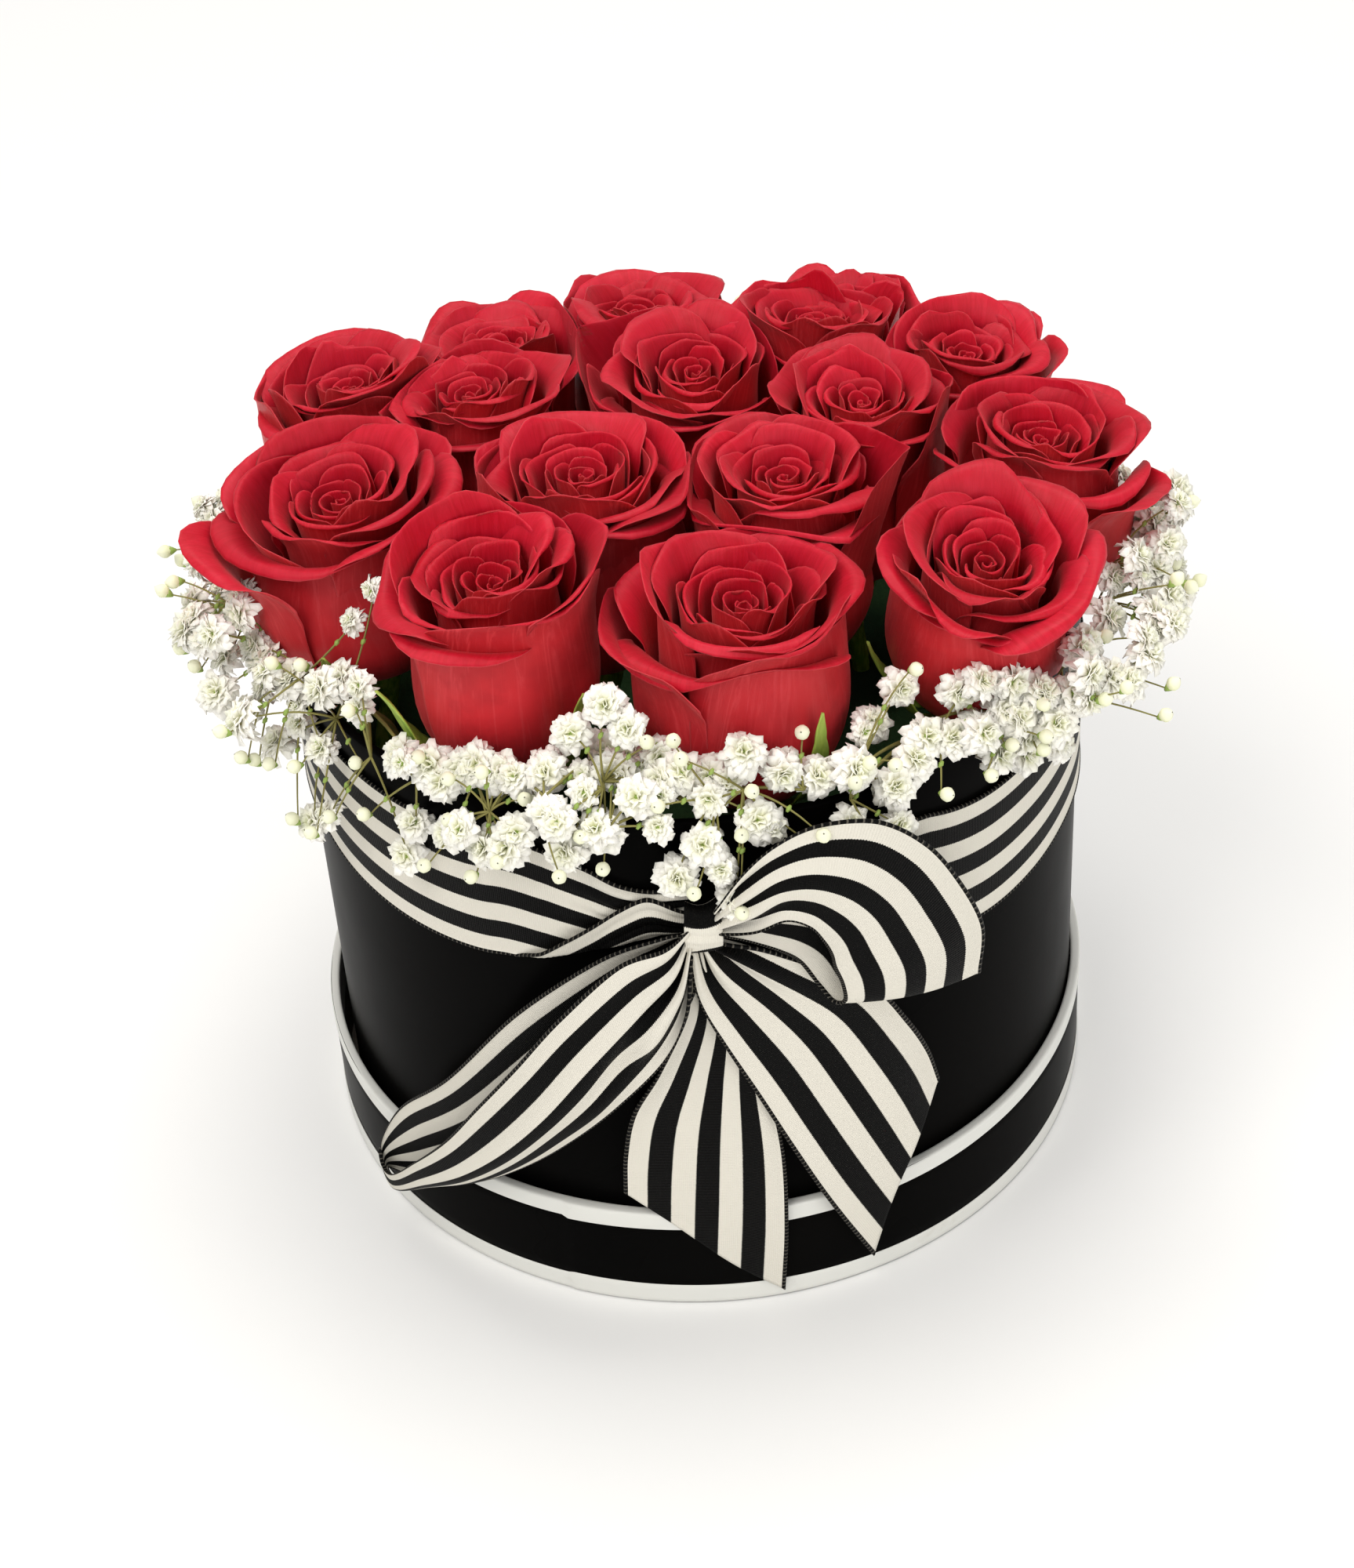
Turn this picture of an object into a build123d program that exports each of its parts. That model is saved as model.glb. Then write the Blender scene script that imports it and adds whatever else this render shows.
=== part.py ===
from build123d import *
from math import cos, radians, sin

# A round hat box of flowers: a lid used upside down as a tray, the box standing in it
# with a ribbon and bow round its wall, and a planted insert that lifts out of the box.
# Millimetres, +Z up. The origin is the centre of the lid's flat underside.
# -Y is the front, where the bow is tied.

# ---- lid (tray) ----
LID_OUTER_R = 104.0
LID_HEIGHT = 32.5
LID_BOARD_T = 2.1
LID_WALL_T = 1.65
PAPER_T = 0.25
FACE_PAPER_T = 0.3
LID_RIM_FLAP = 5.0
LID_EDGE_FLAP = 5.7
LID_INNER_FLAP = 12.0

# ---- box ----
BOX_OUTER_R = 100.0
BOX_RIM_Z = 157.0
BOX_X = 1.0
BOX_WALL_T = 1.7
BOX_BASE_T = 2.0
TURN_IN = 12.0

# ---- ribbon, 38 mm wide ----
RIBBON_WIDTH = 38.0
RIBBON_T = 0.6
BAND_FRONT_Z = 124.5
BAND_TILT_DEG = 2.8
KNOT_LEFT_X = -5.0
KNOT_RIGHT_X = 6.0
KNOT_LOW_Z = 124.0
KNOT_HIGH_Z = 140.0
KNOT_DEPTH = 12.5
TAIL_T = 1.0
FRONT_TAIL_R = 104.7
RIGHT_TAIL_R = 106.1
LOOP_INNER_R = 107.5
LOOP_OUTER_R = 117.5
RIGHT_LOOP_OUTER_R = 120.0

# ---- planted insert ----
LINER_OUTER_R = 97.3
LINER_T = 0.6
LINER_TOP_Z = 150.0
FOAM_R = 96.3
FOAM_TOP_Z = 120.0
STEM_R = 2.4
STEM_FOOT_Z = 88.0
STEM_HOLE_GAP = 0.1
CALYX_R = 6.0
CALYX_HEIGHT = 9.0

# Each rose: centre x and y, height of its top above the ground, its largest radius, and how deep
# the bloom is from its top to its calyx.
ROSES = [
    (-43, -55, 205, 20.0, 66),
    (13, -67, 200, 20.5, 61),
    (70, -54, 202, 20.5, 56),
    (88, -12, 202, 20.5, 54),
    (75, 33, 200, 18.5, 54),
    (47, 74, 190, 15.0, 52),
    (-4, 69, 195, 18.0, 54),
    (-41, 60, 194, 17.0, 54),
    (-78, 36, 200, 19.0, 54),
    (-78, -17, 204, 21.5, 56),
    (-21, -22, 206, 18.0, 58),
    (26, -26, 205, 18.0, 58),
    (46, 4, 206, 17.5, 56),
    (8, 26, 205, 19.0, 58),
    (-47, 20, 203, 15.5, 56),
    (38, 46, 202, 15.8, 56),
]

# Gypsophila sprigs stand between the roses and spread over the rim.
# Each sprig: angle about the box, half its spread, and the radius that it reaches.
SPRIGS = [
    (214, 17, 124.0),
    (245, 13, 112.0),
    (270, 11, 107.0),
    (302, 15, 106.8),
    (338, 15, 126.0),
    (8, 13, 124.0),
    (40, 15, 116.0),
    (76, 16, 112.0),
    (132, 24, 114.0),
    (178, 17, 127.0),
]
SPRIG_STEM_R = 1.1
SPRIG_STEM_RING_R = 86.0
SPRIG_STEM_TURN_Z = 163.0
SPRIG_CLOUD_INNER_R = 101.3
SPRIG_CLOUD_LOW_Z = 149.0
SPRIG_CLOUD_HIGH_Z = 176.0

BASE = (Align.CENTER, Align.CENTER, Align.MIN)


def disc(radius, low, high, x=0.0, y=0.0):
    return Pos(x, y, low) * Cylinder(radius, high - low, align=BASE)


def ring(inner, outer, low, high, x=0.0):
    return disc(outer, low, high, x) - disc(inner, low - 1, high + 1, x)


def turned(section, x=0.0, y=0.0, angle=360.0):
    """A solid turned about a vertical axis from (radius, height) points."""
    face = make_face(Polyline(*[(r, 0, z) for r, z in section], close=True))
    return Pos(x, y, 0) * revolve(face, Axis.Z, angle)


def front_shell(edges, inner, outer):
    """The part of a shell about the box's axis that lies behind an outline seen from the front."""
    panel = extrude(make_face(edges), amount=-150)
    if panel.bounding_box().max.Y > 1:
        panel = mirror(panel, about=Plane.XZ)
    return panel & ring(inner, outer, 0, 200, BOX_X)


def straight_outline(points):
    return Polyline(*[(x, 0, z) for x, z in points], close=True)


def save(name, solid):
    solid.label = name
    export_step(solid, f"parts/{name}.step")


# ---------------------------------------------------------------- lid
def make_lid():
    wall_outer = LID_OUTER_R - 2 * PAPER_T
    wall_inner = wall_outer - LID_WALL_T
    floor_top = FACE_PAPER_T + LID_BOARD_T
    save("lid_face_paper", disc(wall_outer, 0, FACE_PAPER_T))
    save("lid_board", disc(wall_inner, FACE_PAPER_T, floor_top))
    save("lid_wall", ring(wall_inner, wall_outer, FACE_PAPER_T, LID_HEIGHT - PAPER_T))
    save("lid_band_paper", ring(wall_outer, LID_OUTER_R - PAPER_T, FACE_PAPER_T, LID_HEIGHT - PAPER_T))
    save("lid_edge_trim", ring(LID_OUTER_R - PAPER_T, LID_OUTER_R, PAPER_T, LID_EDGE_FLAP))
    trim_section = [
        (wall_inner - PAPER_T, LID_HEIGHT - LID_INNER_FLAP),
        (wall_inner, LID_HEIGHT - LID_INNER_FLAP),
        (wall_inner, LID_HEIGHT - PAPER_T),
        (LID_OUTER_R - PAPER_T, LID_HEIGHT - PAPER_T),
        (LID_OUTER_R - PAPER_T, LID_HEIGHT - LID_RIM_FLAP),
        (LID_OUTER_R, LID_HEIGHT - LID_RIM_FLAP),
        (LID_OUTER_R, LID_HEIGHT),
        (wall_inner - PAPER_T, LID_HEIGHT),
    ]
    save("lid_rim_trim", turned(trim_section))
    return floor_top


# ---------------------------------------------------------------- box
def make_box(floor_z):
    wall_outer = BOX_OUTER_R - PAPER_T
    wall_inner = wall_outer - BOX_WALL_T
    base_top = floor_z + BOX_BASE_T
    save("box_base", disc(wall_inner, floor_z, base_top, BOX_X))
    save("box_wall", ring(wall_inner, wall_outer, floor_z, BOX_RIM_Z - PAPER_T, BOX_X))
    wrap_section = [
        (wall_outer, floor_z),
        (BOX_OUTER_R, floor_z),
        (BOX_OUTER_R, BOX_RIM_Z),
        (wall_inner - PAPER_T, BOX_RIM_Z),
        (wall_inner - PAPER_T, BOX_RIM_Z - TURN_IN),
        (wall_inner, BOX_RIM_Z - TURN_IN),
        (wall_inner, BOX_RIM_Z - PAPER_T),
        (wall_outer, BOX_RIM_Z - PAPER_T),
    ]
    save("box_wrap", turned(wrap_section, BOX_X))
    save("box_lining", ring(wall_inner - PAPER_T, wall_inner, base_top, BOX_RIM_Z - TURN_IN, BOX_X))
    return base_top


# ---------------------------------------------------------------- ribbon
def make_ribbon():
    # The band is level at the front and back and drops a little towards +X.
    shell = ring(BOX_OUTER_R + 0.1, BOX_OUTER_R + 0.1 + RIBBON_T, 60, BOX_RIM_Z, BOX_X)
    slab = Pos(BOX_X, 0, BAND_FRONT_Z) * Rot(0, BAND_TILT_DEG, 0) * Box(300, 300, RIBBON_WIDTH)
    save("ribbon_band", shell & slab)

    band_face = BOX_OUTER_R + 0.1 + RIBBON_T
    knot_outline = straight_outline(
        [
            (KNOT_LEFT_X, KNOT_LOW_Z),
            (KNOT_RIGHT_X, KNOT_LOW_Z),
            (KNOT_RIGHT_X, KNOT_HIGH_Z),
            (KNOT_LEFT_X, KNOT_HIGH_Z),
        ]
    )
    save("ribbon_knot", front_shell(knot_outline, band_face, band_face + KNOT_DEPTH))

    # Tails hang from under the knot, in front of the lid's wall, and end in slanted cuts.
    front_tail = straight_outline(
        [(-4, KNOT_LOW_Z), (4, KNOT_LOW_Z), (14, 84), (16, 48), (15, 4), (-24, 43), (-22, 72)]
    )
    save("ribbon_front_tail", front_shell(front_tail, FRONT_TAIL_R, FRONT_TAIL_R + TAIL_T))
    right_tail = straight_outline(
        [(-1, KNOT_LOW_Z), (6, KNOT_LOW_Z), (44, 101), (56, 63), (38, 11), (13, 69), (-1, 108)]
    )
    save("ribbon_right_tail", front_shell(right_tail, RIGHT_TAIL_R, RIGHT_TAIL_R + TAIL_T))

    # Loops are flattened pads between their two layers of ribbon.
    left_top = Spline((KNOT_LEFT_X, 0, 133), (-28, 0, 121), (-58, 0, 76), (-84, 0, 40), (-89, 0, 20))
    left_low = Polyline((-89, 0, 20), (-58, 0, 41), (-30, 0, 64), (-10, 0, 94), (KNOT_LEFT_X, 0, 114))
    left_end = Line((KNOT_LEFT_X, 0, 114), (KNOT_LEFT_X, 0, 133))
    save("ribbon_left_loop", front_shell([left_top, left_low, left_end], LOOP_INNER_R, LOOP_OUTER_R))
    right_top = Spline(
        (KNOT_RIGHT_X, 0, 140), (15, 0, 155), (30, 0, 161), (48, 0, 151), (61, 0, 132), (68, 0, 111), (66, 0, 99)
    )
    right_low = Polyline((66, 0, 99), (30, 0, 117), (26, 0, 127), (16, 0, 133), (KNOT_RIGHT_X, 0, 128))
    right_end = Line((KNOT_RIGHT_X, 0, 128), (KNOT_RIGHT_X, 0, 140))
    right_loop = front_shell([right_top, right_low, right_end], LOOP_INNER_R, RIGHT_LOOP_OUTER_R)
    save("ribbon_right_loop", right_loop)


# ---------------------------------------------------------------- roses and sprigs
def make_bloom(x, y, top, radius, depth):
    """A goblet: a narrow foot on the calyx, widest above its middle, drawn in at the top."""
    foot = top - depth
    section = [
        (0, foot),
        (CALYX_R, foot),
        (0.56 * radius, foot + 0.26 * depth),
        (radius, foot + 0.67 * depth),
        (0.96 * radius, foot + 0.87 * depth),
        (0.7 * radius, top),
        (0, top),
    ]
    return turned(section, x, y)


def make_rose_stem(x, y, calyx_top):
    """A stem that widens into the calyx under the bloom."""
    section = [
        (0, STEM_FOOT_Z),
        (STEM_R, STEM_FOOT_Z),
        (STEM_R, calyx_top - CALYX_HEIGHT),
        (CALYX_R - 1, calyx_top - 3),
        (CALYX_R, calyx_top),
        (0, calyx_top),
    ]
    return turned(section, x, y)


def sprig_stem_place(angle):
    x = BOX_X + SPRIG_STEM_RING_R * cos(radians(angle))
    y = SPRIG_STEM_RING_R * sin(radians(angle))
    return x, y


def make_sprig(angle, spread, reach, blooms):
    """A wiry stem that rises from the foam, turns over the rim and ends in a cloud of small flowers."""
    x, y = sprig_stem_place(angle)
    stem = disc(SPRIG_STEM_R, STEM_FOOT_Z, SPRIG_STEM_TURN_Z, x, y)
    arm_length = SPRIG_CLOUD_INNER_R + 1 - SPRIG_STEM_RING_R
    arm = Pos(SPRIG_STEM_RING_R, 0, SPRIG_STEM_TURN_Z) * Rot(0, 90, 0)
    arm = arm * Cylinder(SPRIG_STEM_R, arm_length, align=BASE)
    arm = Pos(BOX_X, 0, 0) * Rot(0, 0, angle) * arm
    elbow = Pos(x, y, SPRIG_STEM_TURN_Z) * Sphere(SPRIG_STEM_R)
    slope = 4.0
    section = [
        (SPRIG_CLOUD_INNER_R, SPRIG_CLOUD_LOW_Z),
        (reach - slope / 4, SPRIG_CLOUD_LOW_Z),
        (reach, SPRIG_CLOUD_LOW_Z + slope),
        (reach - slope / 4, SPRIG_CLOUD_HIGH_Z - slope),
        (SPRIG_CLOUD_INNER_R, SPRIG_CLOUD_HIGH_Z),
    ]
    cloud = turned(section, angle=2 * spread)
    cloud = Pos(BOX_X, 0, 0) * Rot(0, 0, angle - spread) * cloud
    sprig = stem + elbow + arm + cloud
    box = sprig.bounding_box()
    for bloom in blooms:
        other = bloom.bounding_box()
        apart_x = other.min.X > box.max.X or other.max.X < box.min.X
        apart_y = other.min.Y > box.max.Y or other.max.Y < box.min.Y
        if not apart_x and not apart_y:
            sprig = sprig - bloom
    return sprig


# ---------------------------------------------------------------- insert
def make_insert(base_top):
    save(
        "clear_liner",
        turned(
            [
                (0, base_top),
                (LINER_OUTER_R, base_top),
                (LINER_OUTER_R, LINER_TOP_Z),
                (LINER_OUTER_R - LINER_T, LINER_TOP_Z),
                (LINER_OUTER_R - LINER_T, base_top + LINER_T),
                (0, base_top + LINER_T),
            ],
            BOX_X,
        ),
    )
    foam = disc(FOAM_R, base_top + LINER_T, FOAM_TOP_Z, BOX_X)
    for x, y, top, radius, depth in ROSES:
        foam -= disc(STEM_R + STEM_HOLE_GAP, STEM_FOOT_Z, FOAM_TOP_Z + 1, x, y)
    for angle, spread, reach in SPRIGS:
        x, y = sprig_stem_place(angle)
        foam -= disc(SPRIG_STEM_R + STEM_HOLE_GAP, STEM_FOOT_Z, FOAM_TOP_Z + 1, x, y)
    save("floral_foam", foam)

    blooms = []
    for number, (x, y, top, radius, depth) in enumerate(ROSES, 1):
        bloom = make_bloom(x, y, top, radius, depth)
        save(f"rose_bloom_{number:02d}", bloom)
        save(f"rose_stem_{number:02d}", make_rose_stem(x, y, top - depth))
        blooms.append(bloom)
    for number, (angle, spread, reach) in enumerate(SPRIGS, 1):
        save(f"gypsophila_{number:02d}", make_sprig(angle, spread, reach, blooms))


lid_floor = make_lid()
box_floor = make_box(lid_floor)
make_ribbon()
make_insert(box_floor)
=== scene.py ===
from math import cos, floor, radians, sin

import bpy
import numpy as np
from mathutils import Matrix, Vector


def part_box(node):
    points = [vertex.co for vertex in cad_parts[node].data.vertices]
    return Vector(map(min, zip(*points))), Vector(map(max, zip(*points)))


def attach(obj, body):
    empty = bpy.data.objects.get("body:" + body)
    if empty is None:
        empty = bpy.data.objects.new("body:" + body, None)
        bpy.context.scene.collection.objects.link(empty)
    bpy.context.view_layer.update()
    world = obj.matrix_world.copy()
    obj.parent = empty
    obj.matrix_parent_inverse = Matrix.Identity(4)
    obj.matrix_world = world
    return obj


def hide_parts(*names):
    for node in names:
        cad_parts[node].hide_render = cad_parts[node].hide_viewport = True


# A flower box: a round black hat box that stands in its own upturned lid, tied with a wide
# striped ribbon, and filled with red roses and small white gypsophila.
# Lengths below are in millimetres until a mesh is made, in the frame's axes; -Y is the front.

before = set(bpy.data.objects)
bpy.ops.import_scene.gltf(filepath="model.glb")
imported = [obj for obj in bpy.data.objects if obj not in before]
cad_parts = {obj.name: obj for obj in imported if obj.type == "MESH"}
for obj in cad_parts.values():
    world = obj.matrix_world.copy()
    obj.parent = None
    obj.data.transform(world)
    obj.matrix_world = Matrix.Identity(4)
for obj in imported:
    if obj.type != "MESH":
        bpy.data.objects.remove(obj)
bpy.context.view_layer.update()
MM = 0.001
RNG_SEED = 20


def node_box(name):
    low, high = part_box(name)
    return np.array(low) / MM, np.array(high) / MM


# ------------------------------------------------------------------ places read from the frame
lid_low, lid_high = node_box("lid_band_paper")
LID_R = (lid_high[0] - lid_low[0]) / 2
LID_TOP = node_box("lid_rim_trim")[1][2]
wrap_low, wrap_high = node_box("box_wrap")
BOX_R = (wrap_high[0] - wrap_low[0]) / 2
BOX_X = (wrap_high[0] + wrap_low[0]) / 2
BOX_FOOT = wrap_low[2]
BOX_RIM = wrap_high[2]
liner_low, liner_high = node_box("clear_liner")
INSIDE_R = (liner_high[0] - liner_low[0]) / 2 - 0.8
EDGE_TRIM_TOP = node_box("lid_edge_trim")[1][2]
RIM_TRIM_INNER_LOW = node_box("lid_rim_trim")[0][2]
ROSE_COUNT = 16
SPRIG_COUNT = 10
GOLDEN_ANGLE = 2.39996
ANY_PHASE = 6.28


# ------------------------------------------------------------------ mesh helpers
def smooth_step(x):
    x = np.clip(x, 0.0, 1.0)
    return x * x * (3 - 2 * x)


def through(points, count):
    """A smooth curve through the points (rows), sampled evenly between them."""
    p = np.array(points, float)
    p = np.vstack([2 * p[0] - p[1], p, 2 * p[-1] - p[-2]])
    spans = len(p) - 3
    where = np.linspace(0, spans, count)
    i = np.minimum(where.astype(int), spans - 1)
    t = (where - i)[:, None]
    a, b, c, d = p[i], p[i + 1], p[i + 2], p[i + 3]
    return 0.5 * (2 * b + (c - a) * t + (2 * a - 5 * b + 4 * c - d) * t**2 + (3 * b - a - 3 * c + d) * t**3)


def unit(v):
    return v / np.maximum(np.linalg.norm(v, axis=-1, keepdims=True), 1e-9)


def turn_about_z(points, angle):
    c, q = cos(angle), sin(angle)
    return points @ np.array([[c, q, 0], [-q, c, 0], [0, 0, 1]])


def grid_quads(rows, cols, around=False):
    """Faces of a grid of points; around joins the last column to the first."""
    last = cols if around else cols - 1
    i, j = np.meshgrid(np.arange(rows - 1), np.arange(last), indexing="ij")
    k = (j + 1) % cols
    quads = np.stack([i * cols + j, i * cols + k, (i + 1) * cols + k, (i + 1) * cols + j], axis=-1)
    return quads.reshape(-1, 4)


def border(rows, cols):
    """The points round a grid's edge, in order."""
    top = [(0, j) for j in range(cols)]
    right = [(i, cols - 1) for i in range(1, rows)]
    low = [(rows - 1, j) for j in range(cols - 2, -1, -1)]
    left = [(i, 0) for i in range(rows - 2, 0, -1)]
    return np.array([i * cols + j for i, j in top + right + low + left])


class Mesh:
    """Collects grids of points into one mesh with a UV map and a colour attribute called look."""

    def __init__(self):
        self.points = []
        self.quads = []
        self.uv = []
        self.look = []
        self.count = 0

    def add(self, points, quads, uv=None, look=None):
        points = points.reshape(-1, 3)
        n = len(points)
        self.points.append(points)
        self.quads.append(quads + self.count)
        self.uv.append(np.zeros((n, 2)) if uv is None else uv.reshape(-1, 2))
        self.look.append(np.zeros((n, 3)) if look is None else look.reshape(-1, 3))
        self.count += n

    def add_sheet(self, middle, half, uv=None, look=None, two_sided=False):
        """A closed thin sheet round a grid of middle points; half is half its thickness."""
        rows, cols = middle.shape[:2]
        across = np.gradient(middle, axis=1)
        along = np.gradient(middle, axis=0)
        normal = unit(np.cross(across, along))
        half = np.broadcast_to(np.asarray(half, float), (rows, cols))[..., None]
        front = middle + normal * half
        back = middle - normal * half
        quads = grid_quads(rows, cols)
        n = rows * cols
        edge = border(rows, cols)
        after = np.roll(edge, -1)
        rim = np.stack([edge, edge + n, after + n, after], axis=-1)
        faces = np.vstack([quads, quads[:, ::-1] + n, rim])
        uv = np.zeros((rows, cols, 2)) if uv is None else uv
        look = np.zeros((rows, cols, 3)) if look is None else look
        other = look.copy()
        if two_sided:
            other[..., 0] = 1 - other[..., 0]
        self.add(
            np.stack([front, back]),
            faces,
            np.stack([uv, uv]),
            np.stack([look, other]),
        )

    def add_tube(self, path, radii, sides, look=None):
        """A tube along a path, closed at both ends by drawing it in."""
        path = np.array(path, float)
        radii = np.broadcast_to(np.asarray(radii, float), (len(path),))
        ahead = unit(np.gradient(path, axis=0))
        side = unit(np.cross(ahead, np.array([0.31, 0.17, 0.93])))
        up = np.cross(side, ahead)
        turn = np.linspace(0, 2 * np.pi, sides, endpoint=False)
        ring = side[:, None] * np.cos(turn)[None, :, None] + up[:, None] * np.sin(turn)[None, :, None]
        body = path[:, None] + ring * radii[:, None, None]
        first = path[:1, None] + ring[:1] * 0.02 * radii[0]
        last = path[-1:, None] + ring[-1:] * 0.02 * radii[-1]
        body = np.concatenate([first, body, last])
        look = np.zeros(3) if look is None else np.array(look)
        look = np.broadcast_to(look, (body.shape[0] * sides, 3))
        self.add(body, grid_quads(body.shape[0], sides, around=True)[:, ::-1], None, look)

    def arrays(self):
        return np.vstack(self.points), np.vstack(self.quads), np.vstack(self.uv), np.vstack(self.look)

    def finish(self, name, looks, body, replaced, material_of=None):
        points, quads, uv, look = self.arrays()
        mesh = bpy.data.meshes.new(name)
        mesh.vertices.add(len(points))
        mesh.vertices.foreach_set("co", (points * MM).astype(np.float32).ravel())
        mesh.loops.add(len(quads) * 4)
        mesh.loops.foreach_set("vertex_index", quads.astype(np.int32).ravel())
        mesh.polygons.add(len(quads))
        mesh.polygons.foreach_set("loop_start", np.arange(0, len(quads) * 4, 4, dtype=np.int32))
        layer = mesh.uv_layers.new(name="UVMap")
        layer.data.foreach_set("uv", uv[quads.ravel()].astype(np.float32).ravel())
        colours = mesh.attributes.new("look", "FLOAT_COLOR", "POINT")
        rgba = np.hstack([look, np.ones((len(look), 1))]).astype(np.float32)
        colours.data.foreach_set("color", rgba.ravel())
        for key in looks:
            mesh.materials.append(MATERIALS[key])
        if material_of is not None:
            mesh.polygons.foreach_set("material_index", material_of.astype(np.int32))
        mesh.update(calc_edges=True)
        mesh.validate()
        mesh.shade_smooth()
        piece = bpy.data.objects.new(name, mesh)
        bpy.context.scene.collection.objects.link(piece)
        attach(piece, body)
        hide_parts(*replaced)
        return piece


# ------------------------------------------------------------------ materials
class Paint:
    """One node material: a Principled shader and short ways to feed it."""

    def __init__(self, name, **constants):
        self.material = bpy.data.materials.new(name)
        self.material.use_nodes = True
        self.tree = self.material.node_tree
        self.shader = self.tree.nodes["Principled BSDF"]
        for socket, value in constants.items():
            self.shader.inputs[socket.replace("_", " ")].default_value = value

    def node(self, kind, **settings):
        made = self.tree.nodes.new(kind)
        for key, value in settings.items():
            setattr(made, key, value)
        return made

    def link(self, a, b):
        self.tree.links.new(a, b)

    def put(self, socket, value):
        if isinstance(value, bpy.types.NodeSocket):
            self.link(value, socket)
        else:
            socket.default_value = value

    def math(self, operation, a, b=0.0, c=0.0):
        n = self.node("ShaderNodeMath", operation=operation)
        for socket, value in zip(n.inputs, (a, b, c)):
            self.put(socket, value)
        return n.outputs[0]

    def mix(self, factor, a, b, blend="MIX"):
        n = self.node("ShaderNodeMix", data_type="RGBA", blend_type=blend)
        self.put(n.inputs["Factor"], factor)
        self.put(n.inputs["A"], a)
        self.put(n.inputs["B"], b)
        return n.outputs["Result"]

    def coordinates(self, kind="Object"):
        return self.node("ShaderNodeTexCoord").outputs[kind]

    def scaled(self, vector, scale):
        n = self.node("ShaderNodeMapping")
        self.link(vector, n.inputs["Vector"])
        n.inputs["Scale"].default_value = scale
        return n.outputs["Vector"]

    def noise(self, vector, scale, detail=3.0, roughness=0.5, distortion=0.0):
        n = self.node("ShaderNodeTexNoise")
        self.link(vector, n.inputs["Vector"])
        names = ("Scale", "Detail", "Roughness", "Distortion")
        for name, value in zip(names, (scale, detail, roughness, distortion)):
            n.inputs[name].default_value = value
        return n.outputs["Fac"]

    def ramp(self, value, low, high, low_out=0.0, high_out=1.0):
        n = self.node("ShaderNodeMapRange", interpolation_type="SMOOTHSTEP")
        self.put(n.inputs["Value"], value)
        names = ("From Min", "From Max", "To Min", "To Max")
        for name, number in zip(names, (low, high, low_out, high_out)):
            n.inputs[name].default_value = number
        return n.outputs["Result"]

    def part(self, value, low, high, share):
        """A ramp that reaches only this share."""
        return self.math("MULTIPLY", self.ramp(value, low, high), share)

    def look(self):
        a = self.node("ShaderNodeAttribute", attribute_name="look")
        s = self.node("ShaderNodeSeparateColor")
        self.link(a.outputs["Color"], s.inputs["Color"])
        return s.outputs

    def bump(self, height, strength, distance_mm):
        n = self.node("ShaderNodeBump")
        n.inputs["Strength"].default_value = strength
        n.inputs["Distance"].default_value = distance_mm * MM
        self.link(height, n.inputs["Height"])
        self.link(n.outputs["Normal"], self.shader.inputs["Normal"])

    def base(self, colour):
        self.put(self.shader.inputs["Base Color"], colour)

    def rough(self, value):
        self.put(self.shader.inputs["Roughness"], value)


def rgb(red, green, blue):
    """Linear colour from everyday 0..255 values."""
    def linear(v):
        v /= 255
        return v / 12.92 if v <= 0.04045 else ((v + 0.055) / 1.055) ** 2.4
    return linear(red), linear(green), linear(blue), 1.0


def black_paper():
    p = Paint("black_paper", Specular_IOR_Level=0.02, IOR=1.3)
    where = p.coordinates()
    grain = p.noise(where, 900, 4, 0.6)
    cloud = p.noise(where, 18, 3)
    p.base(p.mix(cloud, rgb(5, 5, 5), rgb(11, 10, 9)))
    p.rough(p.ramp(cloud, 0.3, 0.7, 0.26, 0.34))
    p.bump(grain, 0.25, 0.05)
    return p.material


def lining_paper():
    p = Paint("lining_paper", Roughness=0.7)
    where = p.coordinates()
    p.base(p.mix(p.noise(where, 60, 4), rgb(14, 14, 15), rgb(26, 25, 24)))
    p.bump(p.noise(where, 700, 4, 0.6), 0.4, 0.08)
    return p.material


def white_trim():
    p = Paint("white_trim", Roughness=0.42)
    where = p.coordinates()
    spots = p.ramp(p.noise(where, 45, 5, 0.65), 0.56, 0.74)
    p.base(p.mix(spots, rgb(222, 222, 216), rgb(200, 197, 188)))
    p.bump(p.noise(where, 500, 3, 0.6), 0.2, 0.06)
    return p.material


def greyboard():
    p = Paint("greyboard", Roughness=0.85)
    where = p.coordinates()
    fibres = p.noise(p.scaled(where, (1, 1, 4)), 350, 5, 0.7)
    p.base(p.mix(fibres, rgb(128, 122, 112), rgb(166, 160, 148)))
    p.bump(fibres, 0.4, 0.1)
    return p.material


def clear_film():
    p = Paint("clear_film", Roughness=0.12, IOR=1.46, Transmission_Weight=0.95)
    where = p.coordinates()
    p.base(p.mix(p.noise(where, 30, 2), rgb(236, 244, 240), rgb(222, 234, 230)))
    p.bump(p.noise(where, 60, 3), 0.15, 0.3)
    return p.material


def foam_green():
    p = Paint("floral_foam", Roughness=0.95)
    where = p.coordinates()
    cells = p.noise(where, 900, 5, 0.75)
    wet = p.noise(where, 22, 3)
    dry = p.mix(cells, rgb(44, 84, 48), rgb(86, 128, 74))
    p.base(p.mix(p.ramp(wet, 0.4, 0.65), dry, rgb(38, 70, 42)))
    p.bump(cells, 0.9, 0.5)
    return p.material


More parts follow.
